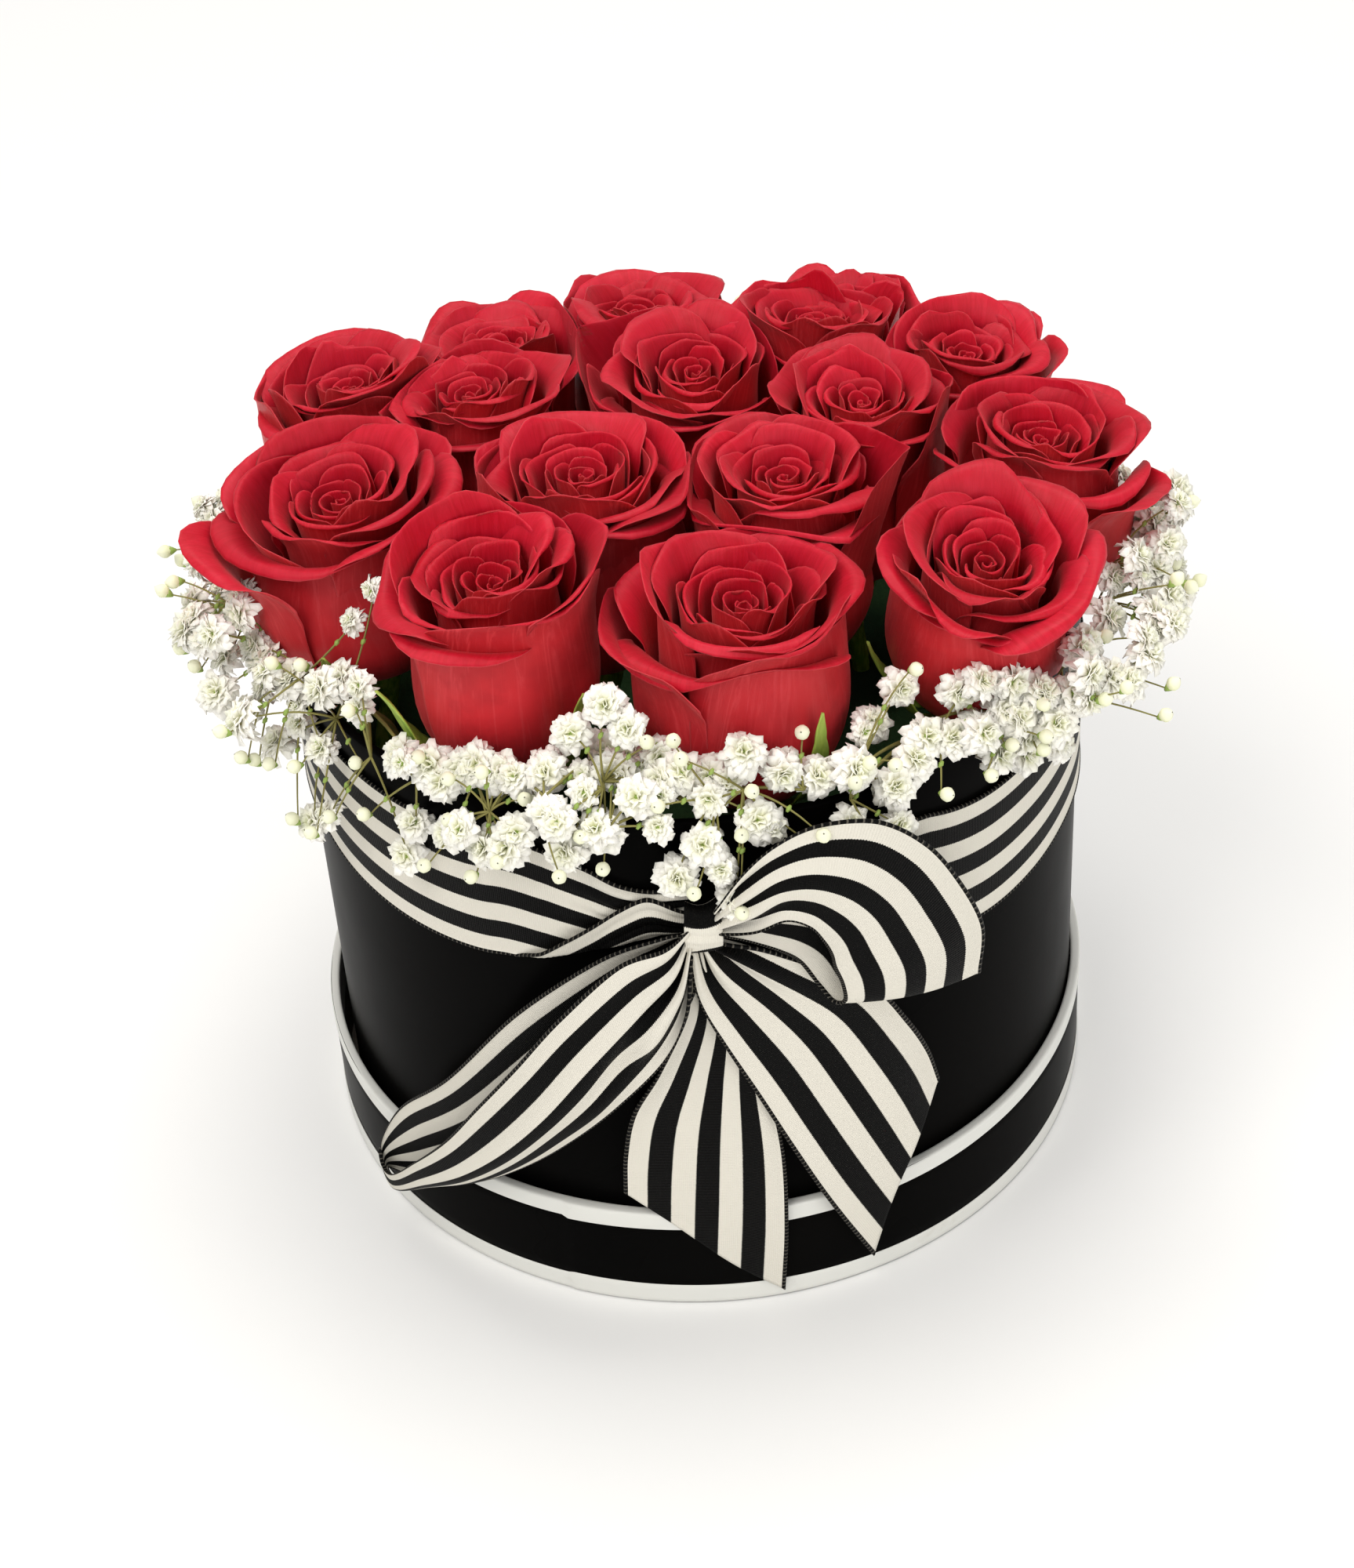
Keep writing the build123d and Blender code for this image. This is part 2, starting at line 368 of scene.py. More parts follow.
def rose_red():
    """look: red = 1 on the inner face, green = 1 at the rim, blue = this petal's own tone.

    UV x runs across the petal, and the fraction of UV y from its foot to its rim."""
    p = Paint(
        "rose_petal",
        Sheen_Weight=0.25,
        Sheen_Roughness=0.45,
        Sheen_Tint=rgb(255, 130, 130),
        Specular_IOR_Level=0.24,
        Subsurface_Weight=0.12,
        Subsurface_Scale=0.002,
        Subsurface_Radius=(1.0, 0.15, 0.1),
    )
    inner, rim, tone = p.look()[0:3]
    flat = p.coordinates("UV")
    veins = p.noise(p.scaled(flat, (15, 2.2, 1)), 1.0, 7, 0.68, 1.6)
    mottle = p.noise(p.coordinates(), 160, 4, 0.6)
    clouds = p.noise(p.coordinates(), 55, 3, 0.5)
    split = p.node("ShaderNodeSeparateXYZ")
    p.link(flat, split.inputs["Vector"])
    up = p.math("FRACT", split.outputs["Y"])
    # Outer faces are palest below their middle and darken towards the rim.
    outside = p.mix(p.ramp(up, 0.5, 0.98), rgb(212, 42, 50), rgb(166, 24, 34))
    outside = p.mix(p.part(clouds, 0.38, 0.66, 0.75), outside, rgb(176, 30, 38))
    outside = p.mix(p.part(veins, 0.46, 0.68, 0.5), outside, rgb(222, 70, 76))
    inside = p.mix(p.ramp(veins, 0.35, 0.7), rgb(188, 8, 34), rgb(206, 22, 48))
    inside = p.mix(p.part(clouds, 0.4, 0.75, 0.4), inside, rgb(212, 34, 60))
    colour = p.mix(inner, outside, inside)
    colour = p.mix(p.math("MULTIPLY", tone, 0.55), colour, rgb(132, 6, 18))
    colour = p.mix(p.part(mottle, 0.5, 0.8, 0.18), colour, rgb(120, 6, 18))
    spots = p.ramp(p.noise(p.coordinates(), 42, 3), 0.60, 0.70)
    dry = p.math("MULTIPLY", p.ramp(rim, 0.80, 1.0), spots)
    # Painted highlight: a paler pink band along each rim, where the rolled rim catches the light.
    colour = p.mix(p.part(rim, 0.82, 1.0, 0.34), colour, rgb(214, 84, 90))
    colour = p.mix(p.math("MULTIPLY", dry, 0.75), colour, rgb(92, 34, 26))
    p.base(colour)
    p.rough(p.ramp(mottle, 0.3, 0.7, 0.44, 0.58))
    p.bump(p.math("ADD", veins, p.math("MULTIPLY", mottle, 0.4)), 0.38, 0.24)
    return p.material


def rose_green():
    """look: red = 1 at a sepal's tip."""
    p = Paint("rose_green", Roughness=0.5, Specular_IOR_Level=0.35)
    tip = p.look()[0]
    where = p.coordinates()
    streaks = p.noise(p.scaled(where, (3, 3, 0.6)), 220, 4, 0.6)
    leaf = p.mix(p.ramp(streaks, 0.35, 0.65), rgb(116, 168, 42), rgb(168, 202, 82))
    p.base(p.mix(p.math("MULTIPLY", tip, 0.7), leaf, rgb(176, 188, 92)))
    p.bump(streaks, 0.4, 0.2)
    return p.material


def gypsophila_white():
    """look: green = 1 at a petal's outer end, blue = 1 in greenish hearts and buds."""
    p = Paint("gypsophila_white", Roughness=0.6, Specular_IOR_Level=0.3)
    end, heart = p.look()[1:3]
    veins = p.noise(p.coordinates(), 900, 3, 0.6)
    white = p.mix(p.ramp(end, 0.1, 0.8), rgb(248, 246, 220), rgb(255, 253, 246))
    white = p.mix(p.part(veins, 0.5, 0.8, 0.15), white, rgb(226, 220, 196))
    p.base(p.mix(p.math("MULTIPLY", heart, 0.6), white, rgb(220, 226, 160)))
    p.bump(veins, 0.25, 0.08)
    return p.material


def gypsophila_green():
    """look: red = 0 for thin brown-green branches, 1 for sepals and nodes."""
    p = Paint("gypsophila_green", Roughness=0.6, Specular_IOR_Level=0.3)
    kind = p.look()[0]
    patches = p.noise(p.coordinates(), 300, 3)
    twig = p.mix(patches, rgb(112, 104, 52), rgb(150, 146, 84))
    p.base(p.mix(kind, twig, rgb(146, 170, 84)))
    return p.material


RIBBON_WIDTH = 38.0
STRIPES = 7


def striped_ribbon():
    """UV x runs over the seven stripes from edge to edge, UV y runs along the ribbon in millimetres."""
    p = Paint("striped_ribbon", Roughness=0.5, Specular_IOR_Level=0.06)
    flat = p.coordinates("UV")
    split = p.node("ShaderNodeSeparateXYZ")
    p.link(flat, split.inputs["Vector"])
    across, along = split.outputs["X"], split.outputs["Y"]
    # Each weft rib pushes the stripe's edge a little to one side or the other.
    rib = p.math("SINE", p.math("MULTIPLY", along, 2 * np.pi / 0.55))
    jag = p.math("MULTIPLY", rib, 0.0022)
    fray = p.math("MULTIPLY", p.math("SUBTRACT", p.noise(p.scaled(flat, (40, 2.4, 1)), 1.0, 2), 0.5), 0.006)
    place = p.math("ADD", p.math("ADD", across, jag), fray)
    # The sine changes sign at each stripe, and is positive on the first, which is cream.
    phase = p.math("SINE", p.math("MULTIPLY", place, np.pi * STRIPES))
    cream = p.ramp(phase, -0.05, 0.05)
    threads = p.noise(p.scaled(flat, (260, 3.2, 1)), 1.0, 3, 0.6)
    # The dark stripes get painted glints: lighter patches in the black where the satin floats catch the
    # light.
    painted_float_glints = p.ramp(p.noise(p.scaled(flat, (150, 2.2, 1)), 1.0, 2, 0.7), 0.50, 0.72)
    light = p.mix(threads, rgb(206, 201, 188), rgb(238, 234, 222))
    dark = p.mix(p.math("MULTIPLY", painted_float_glints, 0.8), rgb(3, 3, 3), rgb(30, 28, 25))
    colour = p.mix(cream, dark, light)
    edge = p.math("GREATER_THAN", p.math("ABSOLUTE", p.math("SUBTRACT", across, 0.5)), 0.474)
    stitch = p.math("SINE", p.math("MULTIPLY", along, 2 * np.pi / 1.3))
    bead = p.mix(p.ramp(stitch, 0.55, 0.98), rgb(9, 9, 9), rgb(92, 88, 80))
    p.base(p.mix(edge, colour, bead))
    weft = p.math("SINE", p.math("MULTIPLY", across, 2 * np.pi * RIBBON_WIDTH / 0.45))
    weave = p.math("ADD", p.math("MULTIPLY", rib, 0.7), p.math("MULTIPLY", weft, 0.3))
    height = p.math("ADD", weave, p.math("MULTIPLY", threads, 1.2))
    height = p.math("ADD", height, p.math("MULTIPLY", p.math("MULTIPLY", stitch, edge), 2.0))
    p.bump(height, 0.6, 0.09)
    return p.material


MATERIALS = {
    "black_paper": black_paper(),
    "lining_paper": lining_paper(),
    "white_trim": white_trim(),
    "greyboard": greyboard(),
    "clear_film": clear_film(),
    "floral_foam": foam_green(),
    "rose_petal": rose_red(),
    "rose_green": rose_green(),
    "gypsophila_white": gypsophila_white(),
    "gypsophila_green": gypsophila_green(),
    "striped_ribbon": striped_ribbon(),
}


# ------------------------------------------------------------------ box and lid
AROUND = 360
PAPER = 0.25
LID_SEAM = radians(247)
BOX_SEAM = radians(74)


def turned(mesh, section, centre_x, unevenness):
    """A closed ring turned from a closed section of (radius, height) points."""
    section = np.array(section, float)
    turn = np.linspace(0, 2 * np.pi, AROUND, endpoint=False)
    r = section[None, :, 0] + np.zeros((AROUND, 1))
    z = section[None, :, 1] + np.zeros((AROUND, 1))
    r, z = unevenness(turn[:, None], r, z)
    points = np.stack([centre_x + r * np.cos(turn)[:, None], r * np.sin(turn)[:, None], z], axis=-1)
    count = len(section)
    i, j = np.meshgrid(np.arange(AROUND), np.arange(count), indexing="ij")
    k = (j + 1) % count
    m = (i + 1) % AROUND
    quads = np.stack([i * count + j, m * count + j, m * count + k, i * count + k], axis=-1).reshape(-1, 4)
    mesh.add(points, quads)


def rounded(corners, radius, steps):
    """Section corners (r, z) with each corner rounded off."""
    corners = np.array(corners, float)
    out = []
    for i, corner in enumerate(corners):
        before = corners[i - 1] - corner
        after = corners[(i + 1) % len(corners)] - corner
        reach = min(radius, 0.45 * np.linalg.norm(before), 0.45 * np.linalg.norm(after))
        a = corner + unit(before) * reach
        b = corner + unit(after) * reach
        for t in np.linspace(0, 1, steps):
            out.append((1 - t) ** 2 * a + 2 * t * (1 - t) * corner + t**2 * b)
    return out


def subdivided(section, longest):
    """A section with its long sides divided, so that a wall can bow a little."""
    out = []
    for i, a in enumerate(section):
        b = section[(i + 1) % len(section)]
        pieces = max(1, int(np.ceil(np.linalg.norm(np.subtract(b, a)) / longest)))
        for k in range(pieces):
            out.append(np.array(a) + (np.array(b) - np.array(a)) * k / pieces)
    return out


def step_at(turn, where, height, blend=0.012):
    """A paper seam: a step in the outer surface at one angle, fading out over the next radian."""
    past = (turn - where) % (2 * np.pi)
    return height * np.clip(past / blend, 0, 1) * np.clip(1 - past / 0.9, 0, 1)


def paper_waves(turn, z, amount):
    slow = np.sin(3 * turn + 1.1) * 0.5 + np.sin(7 * turn + z * 0.02) * 0.3
    return amount * (slow + np.sin(13 * turn + 2) * 0.2)


def build_box_wrap():
    inner = BOX_R - 2.2
    turn_in = 12.0

    def uneven(turn, r, z):
        outer = smooth_step((r - (BOX_R - 1.2)) / 1.0)
        r = r + outer * (paper_waves(turn, z, 0.12) + step_at(turn, BOX_SEAM, 0.22))
        z = z + smooth_step((z - BOX_RIM + 3) / 3) * paper_waves(turn, 0, 0.22)
        return r, z

    outer_side = [(BOX_R, BOX_FOOT), (BOX_R, BOX_RIM), (inner, BOX_RIM), (inner, BOX_RIM - turn_in)]
    inner_side = [
        (inner + PAPER, BOX_RIM - turn_in),
        (inner + PAPER, BOX_RIM - PAPER),
        (BOX_R - PAPER, BOX_RIM - PAPER),
        (BOX_R - PAPER, BOX_FOOT),
    ]
    mesh = Mesh()
    section = subdivided(rounded(outer_side + inner_side, 0.8, 5), 12)
    turned(mesh, section, BOX_X, uneven)
    mesh.finish("box_paper_wrap", ["black_paper"], "box", ["box_wrap"])


def build_lid_paper():
    def uneven(turn, r, z):
        return r + paper_waves(turn, z, 0.10) + step_at(turn, LID_SEAM, 0.3), z

    mesh = Mesh()
    low = 0.3
    high = LID_TOP - PAPER
    section = [(LID_R - PAPER, low), (LID_R, low), (LID_R, high), (LID_R - PAPER, high)]
    turned(mesh, subdivided(rounded(section, 0.1, 2), 8), 0, uneven)
    mesh.finish("lid_side_paper", ["black_paper"], "lid", ["lid_band_paper"])


def build_lid_rim_trim():
    inner = LID_R - 2.15
    outer = LID_R + PAPER
    flap_low = LID_TOP - 5.0

    def uneven(turn, r, z):
        lower = smooth_step((flap_low + 1.2 - z) / 1.2) * (r > LID_R)
        z = z - lower * (0.3 * np.sin(5 * turn + 0.7) + step_at(turn, LID_SEAM, 0.7))
        z = z + smooth_step((z - LID_TOP + 2) / 2) * paper_waves(turn, 0, 0.2)
        r = r + (r > LID_R - 0.3) * (paper_waves(turn, z, 0.12) + step_at(turn, LID_SEAM, 0.35))
        return r, z

    section = [
        (outer, flap_low),
        (outer, LID_TOP),
        (inner - PAPER, LID_TOP),
        (inner - PAPER, RIM_TRIM_INNER_LOW),
        (inner, RIM_TRIM_INNER_LOW),
        (inner, LID_TOP - PAPER),
        (outer - PAPER, LID_TOP - PAPER),
        (outer - PAPER, flap_low),
    ]
    mesh = Mesh()
    turned(mesh, subdivided(rounded(section, 0.9, 5), 2.5), 0, uneven)
    mesh.finish("lid_rim_white_trim", ["white_trim"], "lid", ["lid_rim_trim"])


def build_lid_edge_trim():
    outer = LID_R + PAPER

    def uneven(turn, r, z):
        upper = smooth_step((z - EDGE_TRIM_TOP + 1.5) / 1.5)
        z = z + upper * (0.3 * np.sin(4 * turn + 2) + step_at(turn, LID_SEAM, 0.8))
        r = r + paper_waves(turn, z, 0.1) + step_at(turn, LID_SEAM, 0.35)
        return r, z

    low = 0.2
    inner = outer - PAPER
    section = [(inner, low), (outer, low), (outer, EDGE_TRIM_TOP), (inner, EDGE_TRIM_TOP)]
    mesh = Mesh()
    turned(mesh, subdivided(rounded(section, 0.1, 2), 1.5), 0, uneven)
    mesh.finish("lid_edge_white_trim", ["white_trim"], "lid", ["lid_edge_trim"])


def dress_cad_nodes():
    """CAD nodes that stay keep their shape; their edges are softened and their slots get real finishes."""
    looks = {
        "lid_face_paper": "black_paper",
        "lid_board": "greyboard",
        "lid_wall": "greyboard",
        "box_base": "greyboard",
        "box_wall": "greyboard",
        "box_lining": "lining_paper",
        "clear_liner": "clear_film",
        "floral_foam": "floral_foam",
    }
    for name, look in looks.items():
        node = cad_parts[name]
        node.data.materials.clear()
        node.data.materials.append(MATERIALS[look])
        weld = node.modifiers.new("weld", "WELD")
        weld.merge_threshold = 0.00001
        if name not in ("box_lining", "lid_face_paper"):
            bevel = node.modifiers.new("soft_edges", "BEVEL")
            bevel.width = 0.0002
            bevel.segments = 2
            bevel.limit_method = "ANGLE"
            bevel.angle_limit = radians(40)
            bevel.harden_normals = False


# ------------------------------------------------------------------ roses
PETAL_ROWS = 23
PETAL_COLS = 25

# Each rose: half the width of its bowl, its lean towards the front in degrees, the height of its
# heart as a share of the bloom's, and its guard petals. A guard petal: direction in degrees, half
# its width in degrees, reach of its rim from the bloom's axis, height of its rim as a share of the
# bloom's, how far the rim rolls back, and its kind. The first guard is the outermost one.
# The kinds: a broad upright petal, one that lies out from the bloom, and an upright one with a peak.
BROAD, FLAP, PEAK = 0, 1, 2
ROSES = [
    (20.5, 3, 0.82, [
        (294, 62, 25, 0.96, 0.5, PEAK), (236, 56, 25, 0.88, 1.2, BROAD),
        (350, 46, 28, 1.00, 0.9, BROAD), (190, 50, 25, 0.93, 1.4, BROAD),
    ]),
    (22.5, 1, 0.89, [
        (306, 56, 26, 0.97, 0.7, PEAK), (258, 66, 26, 0.86, 1.1, BROAD),
        (192, 46, 32, 0.88, 1.8, FLAP), (352, 55, 26, 0.97, 1.0, BROAD),
    ]),
    (20.0, 14, 0.88, [
        (222, 50, 23, 0.97, 0.8, PEAK), (270, 56, 22, 0.86, 0.9, BROAD),
        (325, 54, 25, 0.92, 1.4, BROAD), (190, 45, 24, 0.97, 1.0, BROAD),
    ]),
    (20.5, 0, 0.87, [
        (262, 80, 24, 0.89, 0.8, BROAD), (322, 34, 31, 0.84, 1.2, FLAP),
        (30, 60, 23, 0.97, 1.0, BROAD),
    ]),
    (17.5, 2, 0.88, [
        (260, 66, 20, 0.93, 1.1, BROAD), (345, 46, 23, 0.92, 1.2, FLAP),
        (50, 60, 20, 0.97, 1.0, BROAD),
    ]),
    (15.5, -4, 0.90, [
        (270, 66, 18, 0.93, 1.0, BROAD), (20, 60, 19, 0.95, 1.2, FLAP),
        (150, 60, 18, 0.97, 1.0, BROAD),
    ]),
    (18.5, -4, 0.90, [
        (265, 70, 21, 0.93, 1.0, BROAD), (170, 60, 22, 0.96, 1.1, FLAP),
        (40, 60, 21, 0.97, 1.0, BROAD),
    ]),
    (16.5, 2, 0.88, [
        (250, 70, 19, 0.91, 1.1, BROAD), (150, 60, 20, 0.96, 1.2, BROAD),
        (20, 60, 24, 0.97, 0.9, BROAD),
    ]),
    (21.0, -3, 0.88, [
        (255, 78, 24, 0.90, 1.1, BROAD), (185, 55, 24, 0.93, 1.2, FLAP),
        (60, 60, 22, 0.97, 1.0, BROAD),
    ]),
    (24.0, 4, 0.85, [
        (262, 86, 26, 0.88, 1.2, BROAD), (205, 30, 35, 0.86, 1.4, FLAP),
        (330, 54, 27, 0.94, 1.2, BROAD),
    ]),
    (22.5, -3, 0.90, [
        (272, 80, 26, 0.89, 1.5, BROAD), (335, 52, 27, 0.93, 1.6, BROAD),
        (180, 60, 25, 0.95, 1.2, FLAP),
    ]),
    (19.5, 1, 0.89, [
        (258, 78, 24, 0.89, 1.5, BROAD), (0, 50, 30, 1.01, 0.8, BROAD),
        (172, 55, 25, 0.93, 1.4, FLAP),
    ]),
    (18.5, 1, 0.88, [
        (262, 68, 22, 0.92, 1.2, BROAD), (0, 58, 25, 0.96, 1.3, FLAP),
        (160, 60, 21, 0.97, 1.0, BROAD),
    ]),
    (20.5, 3, 0.88, [
        (268, 72, 23, 0.91, 1.0, BROAD), (162, 54, 37, 0.96, 1.2, BROAD),
        (205, 44, 28, 0.93, 1.2, FLAP),
    ]),
    (20.5, -4, 0.90, [
        (255, 76, 23, 0.90, 1.5, BROAD), (175, 58, 25, 0.93, 1.6, FLAP),
        (30, 58, 23, 0.97, 1.0, BROAD),
    ]),
    (19.5, -5, 0.90, [
        (255, 70, 22, 0.92, 1.1, BROAD), (10, 58, 24, 0.96, 1.3, FLAP),
        (140, 60, 22, 0.97, 1.0, BROAD),
    ]),
]


def petal_curve(share, radius, height, reach, roll):
    """The petal's middle line as (radius, height) points, from the calyx to its rim.

    share is 0 for the innermost petal and 1 for the outermost; reach is where its rim gets to."""
    foot = 0.8 + 3.8 * share
    waist = radius * (0.03 + 0.62 * share)
    belly = radius * (0.04 + 0.82 * share**1.15)
    mouth = reach - (0.9 + 1.2 * share) * roll
    points = [
        (foot, 0.0),
        (waist, 0.16 * height),
        (belly, 0.42 * height),
        (0.5 * belly + 0.5 * mouth, 0.72 * height),
        (mouth, 0.90 * height),
        (reach, height - 0.3 * roll),
        (reach + 1.1 * roll, height - 0.9 * roll),
    ]
    return through(points, 60)


def flap_curve(radius, height, reach, roll):
    """Middle line of a guard petal that follows the bloom's body and then lies out from it."""
    points = [
        (5.2, 0.0),
        (0.80 * radius, 0.18 * height),
        (1.0 * radius, 0.48 * height),
        (1.03 * radius, 0.76 * height),
        (0.45 * radius + 0.55 * reach, 0.94 * height),
        (reach, height),
        (reach + 0.9 * roll, height - 0.8 * roll),
    ]
    return through(points, 60)


def add_petal(mesh, turn, width, curve, roll, shape, centre=(0, 0)):
    """One petal about the bloom's axis. turn and width are in radians."""
    s = np.linspace(0, 1, PETAL_ROWS) ** 0.75
    t = np.sin(np.linspace(-1, 1, PETAL_COLS) * np.pi / 2 * 0.92) / sin(np.pi / 2 * 0.92)
    along, across = np.meshgrid(s, t, indexing="ij")
    phase = shape["phase"]
    crown = 1 - shape["round"] * np.abs(across) ** shape["corner"]
    crown += shape["notch"] * (np.sin(across * shape["notch_rate"] + phase) - 1)
    crown += 0.004 * np.sin(across * 23 + 2 * phase)
    reach = np.clip(along * crown, 0, 1)
    lengths = np.linspace(0, 1, len(curve))
    r = np.interp(reach, lengths, curve[:, 0])
    z = np.interp(reach, lengths, curve[:, 1])
    angle = turn + width * (0.78 + 0.22 * smooth_step(along / 0.5)) * across
    side = smooth_step((np.abs(across) - 0.62) / 0.38) * smooth_step((along - 0.6) / 0.35)
    top = smooth_step((along - 0.84) / 0.16)
    wave = shape["wave"] * along**4
    crease = shape["crease"] * np.sin(6.5 * across + 2.4 * phase) * np.sin(7 * along + phase) * along
    r = r * (1 + shape["tuck"] * across + shape["flat"] * (across**2 - 0.3) * smooth_step(along / 0.7))
    r = r + roll * (0.5 * side + 0.9 * top * np.abs(across) ** 1.5) + crease
    r = r + wave * np.sin(3.1 * across + phase) + 0.35 * wave * np.sin(8.3 * across + 2 * phase)
    z = z - 0.5 * roll * side * along + 0.7 * wave * np.sin(4.2 * across + 1.7 * phase)
    z = z + shape["point"] * np.exp(-(((across - shape["aside"]) / 0.22) ** 2)) * along**8
    drift = smooth_step(along)
    x = r * np.cos(angle) + centre[0] * drift
    y = r * np.sin(angle) + centre[1] * drift
    middle = np.stack([x, y, z], axis=-1)
    sides = smooth_step((np.abs(across) - 0.95) / 0.05) * (along > 0.4)
    near_rim = np.maximum(smooth_step((along - 0.94) / 0.06), sides)
    half = 0.17 - 0.08 * near_rim
    u = across * width * 0.8 * (0.45 + 0.55 * along) + 3 * turn
    uv = np.stack([u, 0.02 + 0.96 * along + floor(turn)], axis=-1)
    look = np.stack([np.zeros_like(r), near_rim, np.full_like(r, shape["tone"])], axis=-1)
    mesh.add_sheet(middle, half, uv, look, two_sided=True)


def petal_shape(rng, share):
    return {
        "round": rng.uniform(0.30, 0.44) if share > 0.2 else 0.22,
        "corner": rng.uniform(1.9, 2.7),
        "notch": rng.uniform(0.006, 0.034) * share,
        "notch_rate": rng.uniform(4, 9),
        "phase": rng.uniform(0, ANY_PHASE),
        "wave": rng.uniform(0.5, 1.8) * (0.25 + share),
        "crease": rng.uniform(0.1, 0.5) * share,
        "tuck": rng.uniform(0.09, 0.15) + 0.1 * (1 - share) ** 3,
        "flat": rng.uniform(-0.12, -0.02),
        "point": rng.uniform(-1.5, 3.0) * (0.3 + share),
        "aside": rng.uniform(-0.5, 0.5),
        "tone": rng.uniform(0.0, 0.5),
    }


BLOOM_PETALS = 21


def build_bloom(radius, depth, core, guards, opens, seed):
    """A bloom about the +Z axis with its calyx at the origin: a spiral that opens out, then its guards.

    core is the height of its heart as a share of the bloom's. opens is the direction in degrees in
    which its outer petals stand lower and further out."""
    rng = np.random.default_rng(RNG_SEED + seed)
    mesh = Mesh()
    turn = rng.uniform(0, ANY_PHASE)
    aside = rng.normal(0, 0.9, 2)
    for i in range(BLOOM_PETALS):
        turn += GOLDEN_ANGLE + rng.normal(0, 0.16)
        share = 0.03 + 0.95 * (i + 0.5) / BLOOM_PETALS
        height = depth * (core + (1 - core) * share**0.8) * (1 + 0.045 * share * rng.uniform(-1, 1))
        roll = share**1.3 * rng.uniform(0.6, 3.0)
        width = np.interp(share, [0, 0.1, 0.3, 1.0], [2.7, 1.9, 1.35, 1.25]) * rng.uniform(0.9, 1.1)
        faces_front = cos(turn - radians(opens))
        height *= 1 - 0.05 * faces_front * share
        reach = radius * share * (1 + 0.05 * share * rng.uniform(-1, 1.4)) * (1 + 0.05 * faces_front * share)
        curve = petal_curve(share, radius, height, reach, roll)
        centre = aside * np.clip(1.2 - 1.5 * share, 0, 1)
        shape = petal_shape(rng, share)
        if share > 0.6 and rng.random() < 0.5:
            shape["corner"] = 1.5
            shape["point"] = rng.uniform(2.0, 4.0)
        add_petal(mesh, turn, width, curve, roll, shape, centre)
    back_guard = (rng.uniform(75, 110), 76, radius + 4.5, 0.95, 1.0, BROAD)
    for layer, (direction, half_width, reach, rise, roll, kind) in enumerate(guards + [back_guard]):
        share = 1.24 - 0.06 * layer
        rim = reach + 0.6 * (2 - layer)
        if kind == FLAP:
            curve = flap_curve(radius * (1.2 - 0.05 * layer), depth * rise, rim, roll)
        else:
            curve = petal_curve(share, radius, depth * rise, rim - 0.5 * roll, 1.9 * roll)
        shape = petal_shape(rng, 1.0)
        shape["tuck"] = rng.uniform(-0.01, 0.02)
        shape["flat"] = 0.0
        shape["wave"] = rng.uniform(1.3, 2.4)
        shape["point"] = rng.uniform(1.5, 4.0) if kind != BROAD else rng.uniform(-2.5, 3.5)
        shape["notch"] = rng.uniform(0.03, 0.065)
        shape["notch_rate"] = rng.uniform(3.5, 6)
        shape["round"] = (0.26, 0.42, 0.34)[kind]
        shape["corner"] = (3.0, 1.5, 1.5)[kind]
        add_petal(mesh, radians(direction), radians(half_width + 11), curve, 1.4 * roll, shape)
    return mesh


def rose_places():
    places = []
    for number in range(1, ROSE_COUNT + 1):
        low, high = node_box(f"rose_bloom_{number:02d}")
        places.append(np.array([(low[0] + high[0]) / 2, (low[1] + high[1]) / 2, low[2], high[2]]))
    return places


def press_neighbours(points, number, places):
    """Petals that would run into the next bloom are pressed back and rise a little."""
    x, y = places[number][:2]
    mine = ROSES[number][0]
    for other, place in enumerate(places):
        if other == number:
            continue
        gap = place[:2] - np.array([x, y])
        distance = np.linalg.norm(gap)
        toward = gap / distance
        limit = distance * mine / (mine + ROSES[other][0]) - 0.2
        over = np.maximum((points[:, :2] - (x, y)) @ toward - limit + 1.5, 0)
        soft = over**2 / (over + 1.5)
        points[:, :2] -= np.outer(soft * 0.82, toward)
        points[:, 2] += soft * 0.18
    return points


def keep_inside_rim(points):
    """What is below the box's rim is held inside the liner. Above the rim it can lean out."""
    flat = points.reshape(-1, 3)
    gap = flat[:, :2] - (BOX_X, 0)
    distance = np.maximum(np.linalg.norm(gap, axis=1), 1e-6)
    limit = INSIDE_R - 4.5 + 1.8 * np.maximum(flat[:, 2] - BOX_RIM - 0.5, 0)
    over = np.maximum(distance - limit, 0)
    flat[:, :2] -= gap / distance[:, None] * (over - 4 * over / (over + 4))[:, None]
    return flat.reshape(points.shape)


def bloom_opens_towards(x, y):
    """Outer blooms open away from the box's middle, and inner ones towards the front."""
    weight = smooth_step((np.hypot(x, y) - 35) / 30)
    away = np.array([x, y]) / max(np.hypot(x, y), 1.0)
    towards = weight * away + (1 - weight) * np.array([0.0, -1.0])
    return np.degrees(np.arctan2(towards[1], towards[0]))


def lean_matrix(x, degrees):
    """Leans +Z towards the front, and a little to the side on which the rose stands."""
    towards_front = Matrix.Rotation(radians(degrees), 3, "X")
    sideways = Matrix.Rotation(radians(x * 0.05), 3, "Y")
    return np.array(sideways @ towards_front)


